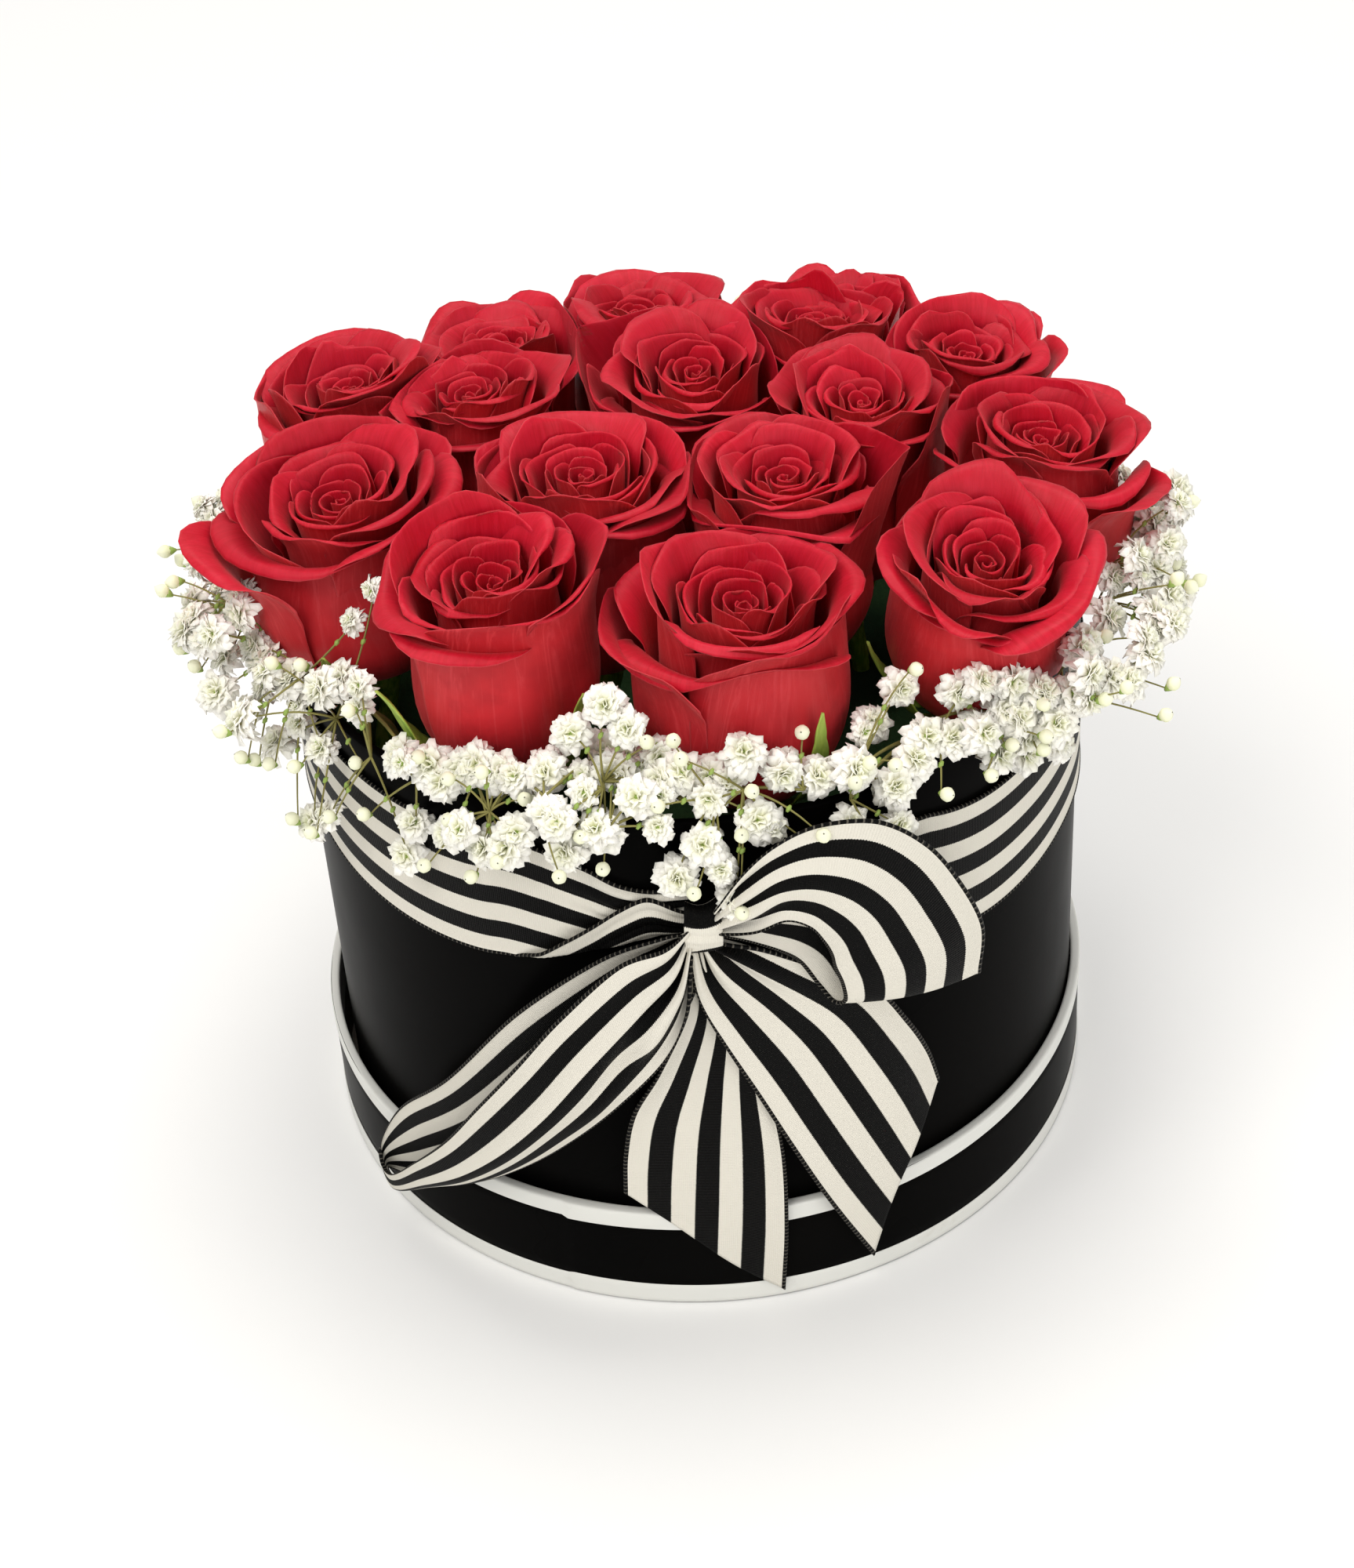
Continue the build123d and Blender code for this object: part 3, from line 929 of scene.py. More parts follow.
def build_roses():
    places = rose_places()
    for number, (radius, lean, core, guards) in enumerate(ROSES):
        x, y, foot, top = places[number]
        mesh = build_bloom(radius, top - foot, core, guards, bloom_opens_towards(x, y), number)
        points, quads, uv, look = mesh.arrays()
        turn = lean_matrix(x, lean)
        calyx = np.array([x, y, foot]) - (turn - np.eye(3)) @ np.array([0, 0, (top - foot) / 2])
        points = points @ turn.T + calyx
        points = keep_inside_rim(press_neighbours(points, number, places))
        made = Mesh()
        made.add(points, quads, uv, look)
        name = f"rose_{number + 1:02d}_petals"
        made.finish(name, ["rose_petal"], "insert", [f"rose_bloom_{number + 1:02d}"])
        build_rose_stem(number, top - foot, calyx, turn)


# The sepals that show below the roses at the front: direction in degrees, length and how far each
# one curls away from the bloom.
SEPALS_IN_SIGHT = {
    1: [(222, 54, 0.40), (310, 52, 0.38)],
    2: [(228, 46, 0.3), (304, 50, 0.12)],
    3: [(232, 44, 0.5), (258, 42, 0.55)],
    10: [(262, 40, 0.3)],
    4: [(262, 36, 0.3)],
}


def build_rose_stem(number, depth, calyx, turn):
    """Stem, calyx and three to five sepals that lie against the bloom or curl away from it."""
    rng = np.random.default_rng(RNG_SEED + 100 + number)
    low, high = node_box(f"rose_stem_{number + 1:02d}")
    mesh = Mesh()
    middle_x = (low[0] + high[0]) / 2
    middle_y = (low[1] + high[1]) / 2
    below = turn @ np.array([0, 0, 1.0])
    path = [np.array([middle_x, middle_y, z]) for z in (low[2], low[2] + 12, low[2] + 32)]
    path += [calyx - below * d for d in (14, 8, 3, 0, -0.6)]
    radii = [2.3, 2.35, 2.3, 2.5, 4.2, 5.6, 5.4, 3.5]
    sizes = through([(r, 0) for r in radii], 30)[:, 0]
    mesh.add_tube(through(path, 30), sizes, 14)
    radius = ROSES[number][0]
    side_of_bloom = petal_curve(1.26, radius, 0.9 * depth, radius + 5, 0.5)
    steps = np.linalg.norm(np.diff(side_of_bloom, axis=0), axis=1)
    walked = np.concatenate([[0], np.cumsum(steps)])
    sepals = [(40 + 72 * k, rng.uniform(24, 36), rng.uniform(-0.05, 0.5)) for k in range(5)]
    sepals = SEPALS_IN_SIGHT.get(number + 1, []) + sepals[:3]
    for direction, length, curl in sepals:
        angle = radians(direction + rng.uniform(-6, 6))
        s = np.linspace(0, 1, 30)[:, None]
        t = np.linspace(-1, 1, 5)[None, :]
        out = np.interp(length * s, walked, side_of_bloom[:, 0]) + 0.9 + curl * length * 0.38 * s**3
        rise = np.interp(length * s, walked, side_of_bloom[:, 1]) - 0.6 - curl * length * 0.12 * s**3
        teeth = 1 + 0.22 * np.abs(np.sin(19 * s)) * (s > 0.2)
        half_width = 3.9 * (1 - s) ** 0.8 * (0.7 + 1.1 * s) * teeth + 0.12
        side = half_width * t + 1.6 * curl * np.sin(5 * s)
        cupped = out + 0.5 * t**2
        flat_points = np.stack([cupped, side, rise + 0 * t], axis=-1)
        middle = keep_inside_rim(turn_about_z(flat_points, angle) @ turn.T + calyx)
        look = np.zeros(middle.shape)
        look[..., 0] = s**2
        mesh.add_sheet(middle, 0.22, None, look)
    mesh.finish(
        f"rose_{number + 1:02d}_stem",
        ["rose_green"],
        "insert",
        [f"rose_stem_{number + 1:02d}"],
    )


# ------------------------------------------------------------------ gypsophila
FLOWER_SHAPES = 6
SMALL_PETALS = 66


def small_bloom(rng, radius):
    """A double flower about +Z: many short ruffled petals that make a rounded head."""
    petals = Mesh()
    s = np.linspace(0, 1, 5)[:, None]
    t = np.linspace(-1, 1, 4)[None, :]
    for k in range(SMALL_PETALS):
        share = (k + 0.5) / SMALL_PETALS
        angle = GOLDEN_ANGLE * k + rng.uniform(-0.25, 0.25)
        lean = 0.1 + 1.95 * share**0.7 + rng.uniform(-0.2, 0.2)
        length = radius * (0.78 + 0.22 * share**0.5) * rng.uniform(0.84, 1.12)
        # the end of each petal is cut into two or three teeth
        teeth = 0.11 * np.cos(rng.uniform(6, 9) * t + rng.uniform(0, ANY_PHASE)) * s**3
        reach = s * (1 - 0.22 * np.abs(t) ** 2 + teeth)
        side = length * (0.05 + 0.25 * s**1.3) * t
        bend = lean * (0.55 + 0.5 * reach)
        twist = rng.uniform(-0.6, 0.6) * s
        ruffle = 0.10 * length * reach**2 * np.sin(4.0 * t + rng.uniform(0, ANY_PHASE)) + side * np.sin(twist)
        out = length * reach * np.sin(bend) + ruffle * np.cos(bend)
        up = length * reach * np.cos(bend) - ruffle * np.sin(bend)
        flat_points = np.stack([out, side * np.cos(twist), up], axis=-1)
        middle = turn_about_z(flat_points, angle)
        look = np.zeros(middle.shape)
        look[..., 0] = 1
        look[..., 1] = reach
        look[..., 2] = np.clip(1.1 - 0.8 * lean, 0, 1) * (1 - 0.6 * reach) + 0.3 * (1 - reach) ** 3
        petals.add_sheet(middle, 0.012 * np.ones(middle.shape[:2]), None, look)
    return petals.arrays()


def small_bud(length):
    """A closed oval bud, as a turned grid about +Z."""
    s = np.linspace(0, 1, 9)
    r = 0.5 * length * 0.82 * np.sin(np.pi * np.clip(s, 0.02, 0.985)) ** 0.75
    z = length * s
    turn = np.linspace(0, 2 * np.pi, 14, endpoint=False)
    ribs = 1 + 0.03 * np.cos(5 * turn)
    points = np.stack(
        [
            r[:, None] * np.cos(turn) * ribs,
            r[:, None] * np.sin(turn) * ribs,
            z[:, None] * np.ones_like(turn),
        ],
        axis=-1,
    )
    look = np.zeros(points.shape)
    look[..., 0] = 1
    look[..., 1] = s[:, None]
    look[..., 2] = 1 - 0.35 * s[:, None]
    return points, grid_quads(9, 14, around=True), None, look


def facing(direction, spin):
    """A rotation that takes +Z to the direction, turned about it by spin."""
    d = unit(np.array(direction, float))
    helper = np.array([0, 0, 1.0]) if abs(d[2]) < 0.9 else np.array([1.0, 0, 0])
    a = unit(np.cross(helper, d))
    b = np.cross(d, a)
    x = a * cos(spin) + b * sin(spin)
    y = np.cross(d, x)
    return np.stack([x, y, d], axis=-1)


def place_flower(white, green, rng, variant, spot, direction, scale):
    points, quads, _, look = variant
    turn = facing(direction, rng.uniform(0, ANY_PHASE))
    white.add(points.reshape(-1, 3) * scale @ turn.T + spot, quads, None, look)
    cup_path = spot + unit(np.array(direction)) * np.array([-0.9, -0.2, 0.8, 1.6])[:, None]
    green.add_tube(cup_path, [0.35, 0.8, 1.1, 1.0], 7, (1, 0, 0))


# Flowers that stand in front of the box and its ribbon, and at the two sides:
# angle about the box in degrees, distance from its axis, height, and diameter.
FRONT_FLOWERS = [
    (211, 112, 131, 11), (216, 112, 140, 9), (205, 113, 150, 11), (214, 108, 156, 10),
    (231, 107, 150, 10), (229, 108, 138, 11), (228, 104, 165, 12), (236, 106, 165, 11),
    (242, 110, 152, 12), (247, 109, 158, 11), (253, 110, 154, 12), (257, 108, 163, 11),
    (262, 106, 170, 12), (267, 110, 148, 12), (270, 109, 158, 12), (271, 104, 166, 11),
    (272, 111, 151, 9), (274, 112, 142, 11), (277, 108, 163, 12), (279, 108, 160, 10),
    (289, 109, 156, 10), (295, 110, 152, 10), (311, 110, 157, 11), (316, 110, 151, 11),
    (295, 108, 162, 12), (299, 105, 166, 12), (304, 106, 168, 11), (308, 108, 166, 12),
    (281, 104, 169, 12), (286, 103, 168, 12), (290, 102, 167, 11), (250, 101, 171, 12),
    (244, 100, 168, 12), (259, 97, 170, 11), (265, 95, 172, 11), (268, 99, 171, 12),
    (277, 92, 178, 12), (261, 88, 186, 12), (263, 92, 182, 11), (253, 95, 178, 11),
    (203, 124, 166, 12), (196, 122, 172, 11), (188, 124, 170, 12), (180, 123, 172, 12),
    (193, 112, 176, 11), (199, 112, 170, 11), (207, 108, 170, 12), (214, 101, 174, 12),
    (174, 120, 174, 12), (168, 118, 172, 11), (184, 116, 164, 11), (191, 118, 158, 11),
    (336, 124, 172, 12), (330, 126, 170, 11), (325, 122, 168, 12), (320, 118, 168, 12),
    (342, 120, 176, 12), (350, 120, 176, 12), (345, 114, 180, 11), (333, 115, 172, 12),
    (357, 116, 176, 12), (355, 122, 168, 11), (340, 127, 166, 11), (326, 108, 174, 11),
    (313, 112, 168, 12), (317, 112, 172, 11), (307, 103, 174, 11), (301, 95, 176, 11),
]
# Two small ones that stand up alone beside the front left rose, in the same form.
LONE_FLOWERS = [(211, 93, 184, 8), (213, 88.5, 191, 7.5)]
# Buds: angle about the box in degrees, distance from its axis and height.
BUD_SPOTS = [
    (219, 112, 142), (225, 110, 148), (222, 106, 158), (233, 104, 168), (256, 104, 158),
    (258, 108, 150), (265, 94, 178), (271, 104, 158), (283, 110, 155), (300, 112, 158),
    (209, 116, 148), (205, 120, 146), (330, 130, 160), (326, 132, 158), (338, 128, 176),
    (192, 126, 162), (176, 126, 164), (248, 98, 160), (239, 110, 158), (310, 112, 162),
]


def polar(angle, distance, height):
    return np.array([BOX_X + distance * cos(radians(angle)), distance * sin(radians(angle)), height])


def sprig_angle(number):
    """The angle of a sprig's stem about the box, from its CAD node's lowest part."""
    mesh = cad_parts[f"gypsophila_{number:02d}"].data
    points = np.array([v.co for v in mesh.vertices]) / MM
    low = points[points[:, 2] < points[:, 2].min() + 1.0].mean(axis=0)
    return np.degrees(np.arctan2(low[1], low[0] - BOX_X)) % 360, low


def clear_of_blooms(spot, size, places):
    """The nearest place to spot where a flower of this size stands outside every bloom."""
    spot = np.array(spot, float)
    for _ in range(4):
        for number, (x, y, foot, top) in enumerate(places):
            share = np.clip((spot[2] - foot) / (top - foot), 0, 1)
            body = ROSES[number][0] * np.interp(share, [0, 0.16, 0.4, 0.9, 1], [0.35, 0.85, 1.05, 1.2, 1.15])
            gap = spot[:2] - (x, y)
            for direction, half_width, reach, rise, roll, _ in ROSES[number][3]:
                off = abs((np.degrees(np.arctan2(gap[1], gap[0])) - direction + 180) % 360 - 180)
                if off < half_width + 12 and rise - 0.3 < share < rise + 0.08:
                    body = max(body, reach + 1.5 * roll)
            distance = np.linalg.norm(gap)
            wanted = body + 0.42 * size + 0.5
            if distance < wanted and spot[2] > foot - 0.3 * size:
                spot[:2] += gap / distance * (wanted - distance)
    return spot


def branch(green, start, end, rng, radius):
    """A thin twig from start to end that rises first and bends over."""
    start = np.array(start, float)
    end = np.array(end, float)
    far = np.linalg.norm(end - start)
    bow = np.array([0, 0, 0.12 * far])
    middle = 0.5 * (start + end) + bow + rng.normal(0, 0.07 * far, 3)
    t = np.linspace(0, 1, 8)[:, None]
    path = (1 - t) ** 2 * start + 2 * t * (1 - t) * middle + t**2 * end
    green.add_tube(path, np.linspace(radius, 0.6 * radius, 8), 5)
    return path


def plan_sprigs(rng):
    """Gives each flower and bud to the sprig whose stem stands nearest to it."""
    sprigs = []
    for number in range(1, SPRIG_COUNT + 1):
        angle, foot = sprig_angle(number)
        sprigs.append({"angle": angle, "foot": foot, "flowers": [], "buds": []})

    def nearest(angle):
        apart = [abs((s["angle"] - angle + 180) % 360 - 180) for s in sprigs]
        return sprigs[int(np.argmin(apart))]

    for angle, distance, height, size in FRONT_FLOWERS:
        nearest(angle)["flowers"].append((angle, distance, height, size))
    for angle, distance, height in BUD_SPOTS:
        nearest(angle)["buds"].append((angle, distance, height))
    # Most of them grow in twos and threes. Nothing more grows behind the right loop of the bow.
    for angle, distance, height, size in FRONT_FLOWERS:
        for _ in range(rng.integers(1, 3)):
            beside = angle + rng.choice((-1, 1)) * rng.uniform(3.5, 6.5)
            out = distance + rng.uniform(-3, 4)
            up = height + rng.uniform(-4, 8)
            if 222 < beside < 312:
                up = min(up, 169)
            behind_loop = 266 < beside < 312 and up < 168
            if behind_loop or up < 147:
                continue
            nearest(beside)["flowers"].append((beside, out, up, size * rng.uniform(0.7, 1.1)))
        if rng.random() < 0.8:
            beside = angle + rng.uniform(-8, 8)
            out = distance + rng.uniform(0, 6)
            nearest(beside)["buds"].append((beside, out, height + rng.uniform(-9, 9)))
    for spot in LONE_FLOWERS:
        nearest(spot[0])["flowers"].append(spot)
    # Round the back the flowers are scattered over each sprig's part of the rim.
    for s in sprigs:
        while len(s["flowers"]) < 22:
            angle = s["angle"] + rng.uniform(-18, 18)
            if s["flowers"] and 200 < angle % 360 < 330 and len(s["flowers"]) > 7:
                break
            behind = 8 if 20 < angle % 360 < 160 else 0
            height = rng.uniform(154, 180 - behind)
            s["flowers"].append((angle, rng.uniform(98, 116 - behind / 2), height, rng.uniform(8.5, 12)))
        while len(s["buds"]) < 5:
            angle = s["angle"] + rng.uniform(-18, 18)
            s["buds"].append((angle, rng.uniform(104, 118), rng.uniform(156, 178)))
    return sprigs


def build_sprig(number, s, variants, bud, places, rng):
    """Stem, branches, flowers and buds of one sprig."""
    white = Mesh()
    green = Mesh()
    foot = s["foot"]
    fork = polar(s["angle"], 93, BOX_RIM + 3)
    low_stem = np.array([foot[0], foot[1], foot[2] + 1])
    stem_path = through([low_stem, low_stem + (0, 0, 30), low_stem + (0, 0, 58), fork], 20)
    green.add_tube(stem_path, np.linspace(1.0, 0.8, 20), 8)
    heads = [(a, d, h, size, True) for a, d, h, size in s["flowers"]]
    heads += [(a, d, h, 4.2, False) for a, d, h in s["buds"]]
    forks = []
    for step in (-15, -8, 0, 8, 15):
        angle = s["angle"] + step + rng.uniform(-3, 3)
        far_fork = polar(angle, rng.uniform(98, 107), BOX_RIM + rng.uniform(2, 12))
        far_fork = clear_of_blooms(far_fork, 2, places)
        branch(green, fork, far_fork, rng, 0.55)
        forks.append(far_fork)
    for a, d, h, size, is_flower in heads:
        spot = clear_of_blooms(polar(a, d, h), size, places)
        start = sorted(forks, key=lambda f: np.linalg.norm(f - spot))[rng.integers(2)]
        out = np.array([cos(radians(a)), sin(radians(a)), 0.75 + rng.normal(0, 0.25)])
        out = out + rng.normal(0, 0.22, 3)
        stalk_end = spot - unit(out) * size * 0.35
        path = branch(green, start, stalk_end, rng, 0.32)
        green.add_tube([path[4] - 0.5, path[4], path[4] + 0.5], [0.3, 0.65, 0.3], 5, (1, 0, 0))
        if is_flower:
            variant = variants[rng.integers(FLOWER_SHAPES)]
            place_flower(white, green, rng, variant, stalk_end, out, size / 2 * 0.92)
        else:
            points, quads, _, look = bud
            turn = facing(out, rng.uniform(0, ANY_PHASE))
            white.add(points.reshape(-1, 3) * size @ turn.T + stalk_end, quads, None, look.reshape(-1, 3))
            cup = stalk_end + unit(out) * np.array([-0.8, 0.0, 0.9])[:, None]
            green.add_tube(cup, [0.3, 0.8, 1.25], 6, (1, 0, 0))
    both = Mesh()
    both.add(*white.arrays())
    both.add(*green.arrays())
    of_green = np.concatenate([np.zeros(sum(map(len, white.quads))), np.ones(sum(map(len, green.quads)))])
    both.finish(
        f"gypsophila_sprig_{number:02d}",
        ["gypsophila_white", "gypsophila_green"],
        "insert",
        [f"gypsophila_{number:02d}"],
        of_green,
    )


def build_gypsophila():
    rng = np.random.default_rng(RNG_SEED + 500)
    variants = [small_bloom(rng, 1.0) for _ in range(FLOWER_SHAPES)]
    bud = small_bud(1.0)
    places = rose_places()
    for number, s in enumerate(plan_sprigs(rng), 1):
        build_sprig(number, s, variants, bud, places, rng)


# ------------------------------------------------------------------ ribbon
RIBBON_COLS = 57


def on_wall(x, z, r):
    """The point in front of the box at this x and z, at distance r from its axis."""
    return np.stack([x, -np.sqrt(np.maximum(r**2 - (x - BOX_X) ** 2, 1.0)), z], axis=-1)


def ribbon_half_thickness(across):
    """Half the ribbon's thickness over its width; each edge is a bead wound round a wire."""
    near = np.minimum(across, 1 - across) * RIBBON_WIDTH
    return 0.16 + 0.36 * np.exp(-(((near - 0.5) / 0.45) ** 2))


def across_shares():
    """Places over the ribbon's width, closer together at the two wired edges."""
    inside = np.linspace(0.045, 0.955, RIBBON_COLS - 10)
    edge = np.array([0.0, 0.006, 0.013, 0.021, 0.03])
    return np.concatenate([edge, inside, 1 - edge[::-1]])


def ribbon_piece(name, middle, along_mm, replaced, **declared):
    """Makes a ribbon from rows of points; along_mm is each point's distance along it."""
    rows, cols = middle.shape[:2]
    across = across_shares()
    uv = np.stack([np.broadcast_to(across, (rows, cols)), along_mm], axis=-1)
    mesh = Mesh()
    mesh.add_sheet(middle, ribbon_half_thickness(np.broadcast_to(across, (rows, cols))), uv)
    piece = mesh.finish(name, ["striped_ribbon"], "box", replaced)


def rows_apart(middle):
    """Distance along the ribbon's middle for every row, repeated over the width."""
    centre = middle[:, middle.shape[1] // 2]
    steps = np.concatenate([[0], np.cumsum(np.linalg.norm(np.diff(centre, axis=0), axis=1))])
    return np.repeat(steps[:, None], middle.shape[1], axis=1)


def pleats(width_now, across, count, phase, limit):
    """How far the cloth stands in and out where its 38 mm are gathered into less."""
    slack = np.maximum((RIBBON_WIDTH / np.maximum(width_now, 3.0)) ** 2 - 1, 0)
    height = np.minimum(width_now / (2 * np.pi * count) * np.sqrt(2 * slack), limit)
    return height * np.sin(2 * np.pi * count * across + phase)


# The band round the box. Each station: angle about the box, lower edge, how much of the width is
# turned up in front, and how open the part behind still is.
BAND = [
    (-84, 128, 2.0, 0.32),
    (-78, 122, 0.0, 0.50),
    (-68, 113, 0.0, 0.82),
    (-58, 105, 0.0, 1.0),
    (-48, 101, 0.0, 1.0),
    (-36, 100.5, 0.0, 1.0),
    (-24, 100.8, 0.0, 1.0),
    (-8, 99.5, 0.0, 1.0),
    (20, 100.5, 0.0, 1.0),
    (60, 103.5, 0.0, 1.0),
    (100, 107, 0.0, 1.0),
    (140, 110.5, 0.0, 1.0),
    (180, 113, 0.0, 1.0),
    (200, 112.5, 0.0, 1.0),
    (212, 110, 0.0, 1.0),
    (225, 108.8, 0.0, 1.0),
    (236, 109.4, 0.0, 1.0),
    (242, 111.2, 0.2, 1.0),
    (247, 114.2, 2.5, 0.97),
    (251, 117.0, 6.0, 0.93),
    (255, 119.8, 9.5, 0.85),
    (259, 122.6, 13.0, 0.70),
    (263, 125.2, 14.5, 0.58),
    (268, 127.6, 11.0, 0.42),
]


def build_band():
    """Left of the knot the band's lower edge turns up over itself in a half twist."""
    across = across_shares()
    rows = 320
    track = through(BAND, rows)
    angle = np.radians(track[:, 0])[:, None]
    low = track[:, 1][:, None]
    turned_up = np.maximum(track[:, 2], 0)[:, None]
    open_share = np.clip(track[:, 3], 0, 1)[:, None]
    first, last = BAND[0][0], BAND[-1][0]
    from_knot = np.minimum(np.abs(track[:, 0] - first), np.abs(track[:, 0] - last))[:, None]
    # measured down from the upper edge; past the fold the cloth comes up again in front
    below = RIBBON_WIDTH * (1 - across)[None, :] - (RIBBON_WIDTH - turned_up)
    flap_share = 0.93 - 0.3 * (1 - smooth_step(from_knot / 6))
    flat_height = np.where(below < 0, -below * open_share, below * flap_share)
    fold = 0.8
    folded = smooth_step(turned_up / 3)
    height_above = flat_height * (1 - folded) + (np.sqrt(flat_height**2 + fold**2) - fold) * folded
    front = smooth_step((below + 0.8) / 1.6) * folded
    gathers = pleats(RIBBON_WIDTH * open_share, np.broadcast_to(across, (rows, len(across))), 4, 0.6, 1.8)
    gathers = gathers * (1 - smooth_step((from_knot - 4) / 18))
    ripple = 0.35 * np.sin(angle * 9 + across * 3) * smooth_step((40 - from_knot) / 30)
    ripple = ripple * smooth_step(from_knot / 10)
    r = BOX_R + 0.75 + front * (1.6 + 0.8 * np.sin(below / 5))
    r = r + np.abs(gathers) * (1 - 0.5 * front) + np.abs(ripple)
    middle = np.stack([BOX_X + r * np.cos(angle), r * np.sin(angle), low + height_above], axis=-1)
    knot = build_knot()
    ribbon_piece(
        "ribbon_round_box",
        middle,
        rows_apart(middle),
        ["ribbon_band"],
        flat=(0.038, 0.64),
        held="stretched",
        rests_on=["box_paper_wrap"],
        with_pieces=[knot],
    )


def build_knot():
    """A short length of ribbon drawn tightly over the middle of the bow."""
    across = across_shares()
    rows = 34
    s = np.linspace(-1, 1, rows)[:, None]
    # rows run over the knot from left to right; the stripes lie level
    bend = (across[None, :] - 0.5) * 3.5
    waist = 1 - 0.13 * np.cos(s * 1.4)
    crease = 0.28 * np.sin(across[None, :] * 31 + 1.3 * s) + 0.2 * np.sin(across[None, :] * 57 + 2 * s)
    z = 132.2 + 7.0 * waist * np.sin(bend) + 0.5 * s
    r = 107.6 + (4.6 * waist + crease) * np.cos(bend) - 1.3 * s**2
    x = 0.2 + 3.9 * s + 0.4 * np.cos(bend) * s
    middle = on_wall(x * np.ones_like(z), z, r)
    mesh = Mesh()
    uv = np.stack([np.broadcast_to(0.45 + 0.41 * across, z.shape), np.broadcast_to(5 * s, z.shape)], axis=-1)
    mesh.add_sheet(middle, 0.3, uv)
    return mesh.finish("ribbon_bow_knot", ["striped_ribbon"], "box", ["ribbon_knot"])


def build_tail(name, node, left, right, r, along, waves, cut_length, cut_area):
    """A tail that hangs in front of the box. left and right are its edges as (x, z) points."""
    rows = 110
    across = across_shares()[None, :]
    a = through(left, rows)
    b = through(right, rows)
    x = a[:, :1] * (1 - across) + b[:, :1] * across
    z = a[:, 1:] * (1 - across) + b[:, 1:] * across
    width_now = np.linalg.norm(b - a, axis=1)[:, None]
    down = np.linspace(0, 1, rows)[:, None]
    near_knot = 1 - smooth_step(down / 0.42)
    depth = near_knot * pleats(width_now, across, 3, 0.4, 1.9)
    depth = depth + waves * np.sin(2 * np.pi * 1.25 * across + 0.8 + 1.6 * down) * smooth_step(down / 0.3)
    depth = depth + 0.5 * waves * np.sin(9 * down + 2 * across)
    middle = on_wall(x, z, r + depth)
    direction = unit(np.array(along))
    travelled = (x - a[0, 0]) * direction[0] + (z - a[0, 1]) * direction[1]
    ribbon_piece(
        name,
        middle,
        travelled,
        [node],
        flat=(0.038, cut_length),
        area=cut_area,
        held="hung",
        rests_on=["ribbon_bow_knot"],
    )


def build_tails():
    build_tail(
        "ribbon_tail_front",
        "ribbon_front_tail",
        [(-4, 126), (-4, 116), (-5, 104), (-13, 84), (-20, 70), (-23, 56), (-24, 42)],
        [(4, 126), (7, 110), (11, 92), (14, 74), (16.5, 52), (16.5, 26), (15, 3)],
        105.6,
        (0.02, -1),
        0.5,
        0.125,
        0.0040,
    )
    build_tail(
        "ribbon_tail_right",
        "ribbon_right_tail",
        [(-3, 127), (-2, 112), (3, 96), (10.5, 77), (18, 58), (27, 36), (38, 11)],
        [(5, 127), (15, 123), (30, 112), (40, 104), (48, 89), (53, 76), (56, 63)],
        107.6,
        (0.371, -0.929),
        0.9,
        0.135,
        0.0040,
    )


def build_loop(name, node, stations, rows, waves, flat_length, dents=()):
    """A bow loop. Each station: upper edge (x, z, r), lower edge (x, z, r), bulge outwards."""
    across = across_shares()[None, :]
    track = through([up + low + (bulge,) for up, low, bulge in stations], rows)
    up = track[:, None, 0:3]
    low = track[:, None, 3:6]
    bulge = track[:, 6][:, None]
    mix = across[..., None]
    place = low * mix + up * (1 - mix)
    place = np.broadcast_to(place, (rows, across.shape[1], 3)).copy()
    down = np.linspace(0, 1, rows)[:, None]
    width_now = np.linalg.norm(track[:, 0:2] - track[:, 3:5], axis=1)[:, None]
    ends = np.minimum(down, 1 - down)
    gather = (1 - smooth_step(ends / 0.16)) * pleats(width_now, across, 3, 1.1, 1.6)
    depth = bulge * np.sin(np.pi * across) + gather
    fading = 1 - smooth_step((down - 0.05) / 0.5)
    depth = depth + waves * np.sin(2 * np.pi * 2.1 * across + 5 * down) * fading
    for at, over, size_along, size_across, amount in dents:
        away = -(((down - at) / size_along) ** 2) - ((across - over) / size_across) ** 2
        depth = depth + amount * np.exp(away)
    middle = on_wall(place[..., 0], place[..., 1], place[..., 2] + depth)
    ribbon_piece(
        name,
        middle,
        rows_apart(middle),
        [node],
        flat=(0.038, flat_length),
        held="folded",
        rests_on=["ribbon_bow_knot"],
    )


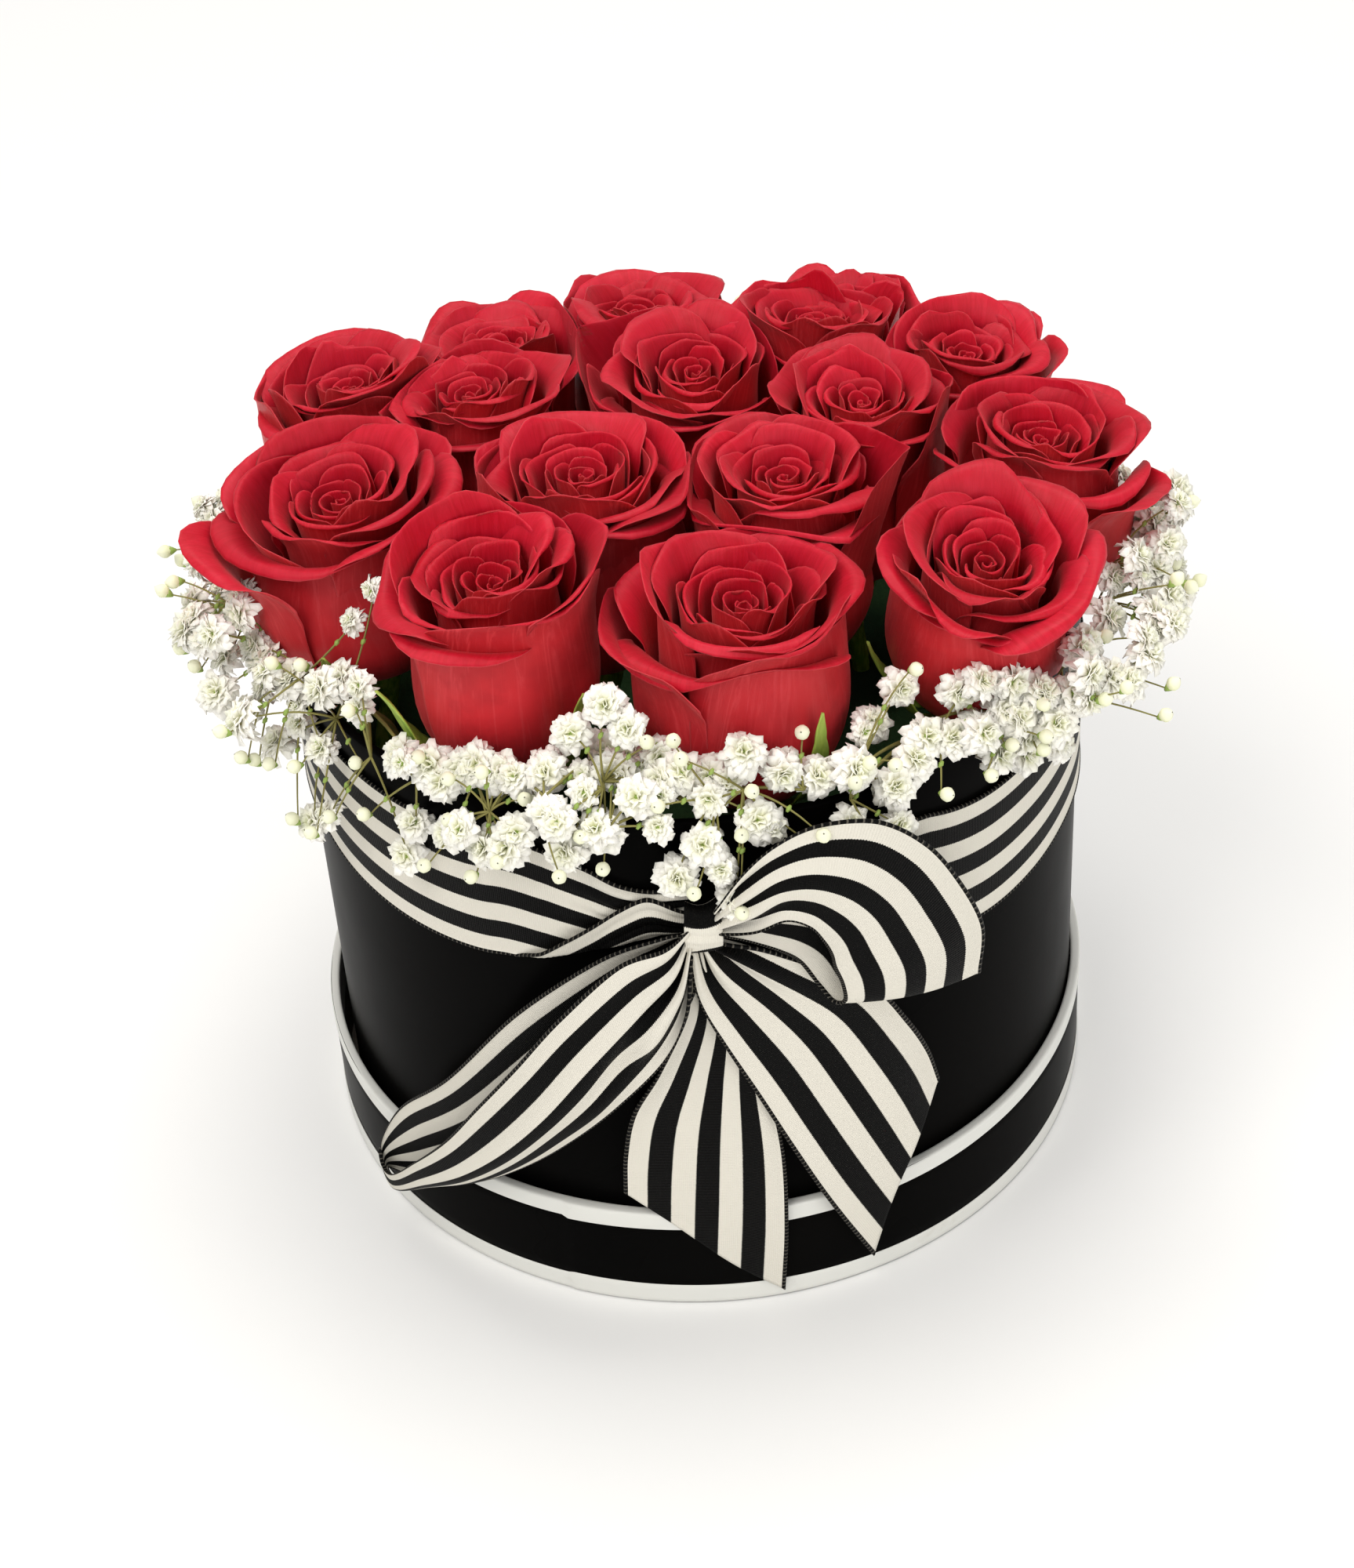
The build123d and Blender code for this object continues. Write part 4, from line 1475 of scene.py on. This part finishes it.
def build_loops():
    left = [
        ((-3, 134, 109), (-3, 126, 109), 0.5),
        ((-9, 130, 111), (-5, 108, 109.5), 3),
        ((-20, 125, 112), (-11, 93, 109.5), 5),
        ((-35, 107, 113), (-23, 77, 109.5), 6),
        ((-47, 88, 113.5), (-34, 64, 109.5), 7),
        ((-58, 70, 114), (-46, 51, 109.5), 7),
        ((-67, 54, 114.5), (-60, 38, 110), 5.5),
        ((-77, 38, 114.5), (-73, 28, 110), 4),
        ((-86, 23, 113.5), (-85, 15, 109.5), 2.5),
        ((-88, 27, 111), (-87, 16, 108.5), 0.5),
        ((-80, 47, 108.8), (-72, 26, 107.8), 0),
        ((-66, 68, 108.5), (-54, 44, 107.8), 0),
        ((-46, 100, 108.5), (-30, 70, 107.8), 0),
        ((-25, 122, 108.5), (-10, 98, 107.8), 0),
        ((-9, 131, 108.5), (-3, 112, 107.8), 0),
        ((-3, 132, 108), (-3, 122, 107.8), 0),
    ]
    build_loop(
        "ribbon_loop_left",
        "ribbon_left_loop",
        left,
        240,
        1.3,
        0.272,
        dents=[
            (0.09, 0.50, 0.06, 0.07, -3.4),
            (0.13, 0.70, 0.035, 0.09, 3.0),
            (0.17, 0.62, 0.03, 0.12, -3.2),
            (0.21, 0.80, 0.05, 0.10, 2.4),
            (0.25, 0.35, 0.09, 0.10, 1.4),
        ],
    )
    right = [
        ((3, 139, 109), (3, 132, 109), 0.5),
        ((10, 151, 111), (12, 134.5, 113), 1),
        ((18, 159, 112.5), (19, 137.5, 114.5), 1.5),
        ((28, 163, 113.5), (24.5, 135, 115.5), 2),
        ((41, 160, 114), (27.5, 130, 116), 2.5),
        ((52, 149, 114.5), (29, 126, 116.5), 2.5),
        ((60, 134, 115), (29.5, 122.5, 117), 2.5),
        ((66, 117, 115.8), (31, 117.5, 117.5), 2.5),
        ((65.5, 103, 115.5), (31.5, 112, 117.5), 1.5),
        ((66, 100.5, 113), (29, 109.5, 114.5), 0.3),
        ((65.5, 107, 110.4), (25.5, 113, 111), 0),
        ((62, 122, 110), (21.5, 120, 109.8), 0),
        ((48, 140, 109.5), (17, 124, 109.5), 0),
        ((28, 145, 109), (10, 128, 109), 0),
        ((12, 142, 108.5), (5, 130, 108.5), 0),
        ((3, 138, 108), (2, 131, 108), 0),
    ]
    build_loop("ribbon_loop_right", "ribbon_right_loop", right, 200, 0.35, 0.155)


# ------------------------------------------------------------------ floor, light and camera
def build_stage():
    floor_mat = Paint("floor", Roughness=0.9)
    floor_mat.base(rgb(246, 246, 245))
    bpy.ops.mesh.primitive_plane_add(size=8, location=(0, 0, -0.0002))
    floor = bpy.context.object
    floor.name = "floor"
    floor.data.materials.append(floor_mat.material)
    world = bpy.data.worlds.new("studio")
    world.use_nodes = True
    world.node_tree.nodes["Background"].inputs["Color"].default_value = (1, 1, 1, 1)
    world.node_tree.nodes["Background"].inputs["Strength"].default_value = 0.48
    bpy.context.scene.world = world
    lamps = [
        ("key", (-0.7, -0.9, 1.7), 1.0, 17.0, (1.0, 0.97, 0.93)),
        ("fill", (0.8, -1.4, 0.6), 1.2, 8.5, (1.0, 0.98, 0.96)),
        ("top", (0.1, 0.5, 1.9), 1.2, 18.0, (1.0, 0.98, 0.95)),
    ]
    for name, place, size, power, colour in lamps:
        data = bpy.data.lights.new(name, "AREA")
        data.size = size
        data.energy = power
        data.color = colour
        lamp = bpy.data.objects.new(name, data)
        lamp.location = place
        aim = Vector((0, 0, 0.12)) - Vector(place)
        lamp.rotation_mode = "QUATERNION"
        lamp.rotation_quaternion = aim.to_track_quat("-Z", "Y")
        bpy.context.scene.collection.objects.link(lamp)
    bpy.context.scene.view_settings.view_transform = "Standard"
    bpy.context.scene.view_settings.look = "None"


def build_camera():
    """A camera above the front of the box, 39 degrees down, tipped a little to one side."""
    down = radians(38.88)
    turn = radians(-0.38)
    tip = radians(-4.15)
    ahead = Vector((sin(turn) * cos(down), cos(turn) * cos(down), -sin(down)))
    right = Vector((cos(turn), -sin(turn), 0))
    up = right.cross(ahead)
    x_axis = right * cos(tip) + up * sin(tip)
    y_axis = -right * sin(tip) + up * cos(tip)
    data = bpy.data.cameras.new("camera")
    data.sensor_fit = "VERTICAL"
    data.sensor_height = 36
    data.lens = 68.4
    data.clip_start = 0.01
    data.clip_end = 50
    camera = bpy.data.objects.new("camera", data)
    place = Matrix((x_axis, y_axis, -ahead)).transposed().to_4x4()
    place.translation = Vector((0, -0.6183, 0.5866))
    camera.matrix_world = place
    bpy.context.scene.collection.objects.link(camera)
    bpy.context.scene.camera = camera


build_box_wrap()
build_lid_paper()
build_lid_rim_trim()
build_lid_edge_trim()
dress_cad_nodes()
build_roses()
build_gypsophila()
build_band()
build_tails()
build_loops()
build_stage()
build_camera()
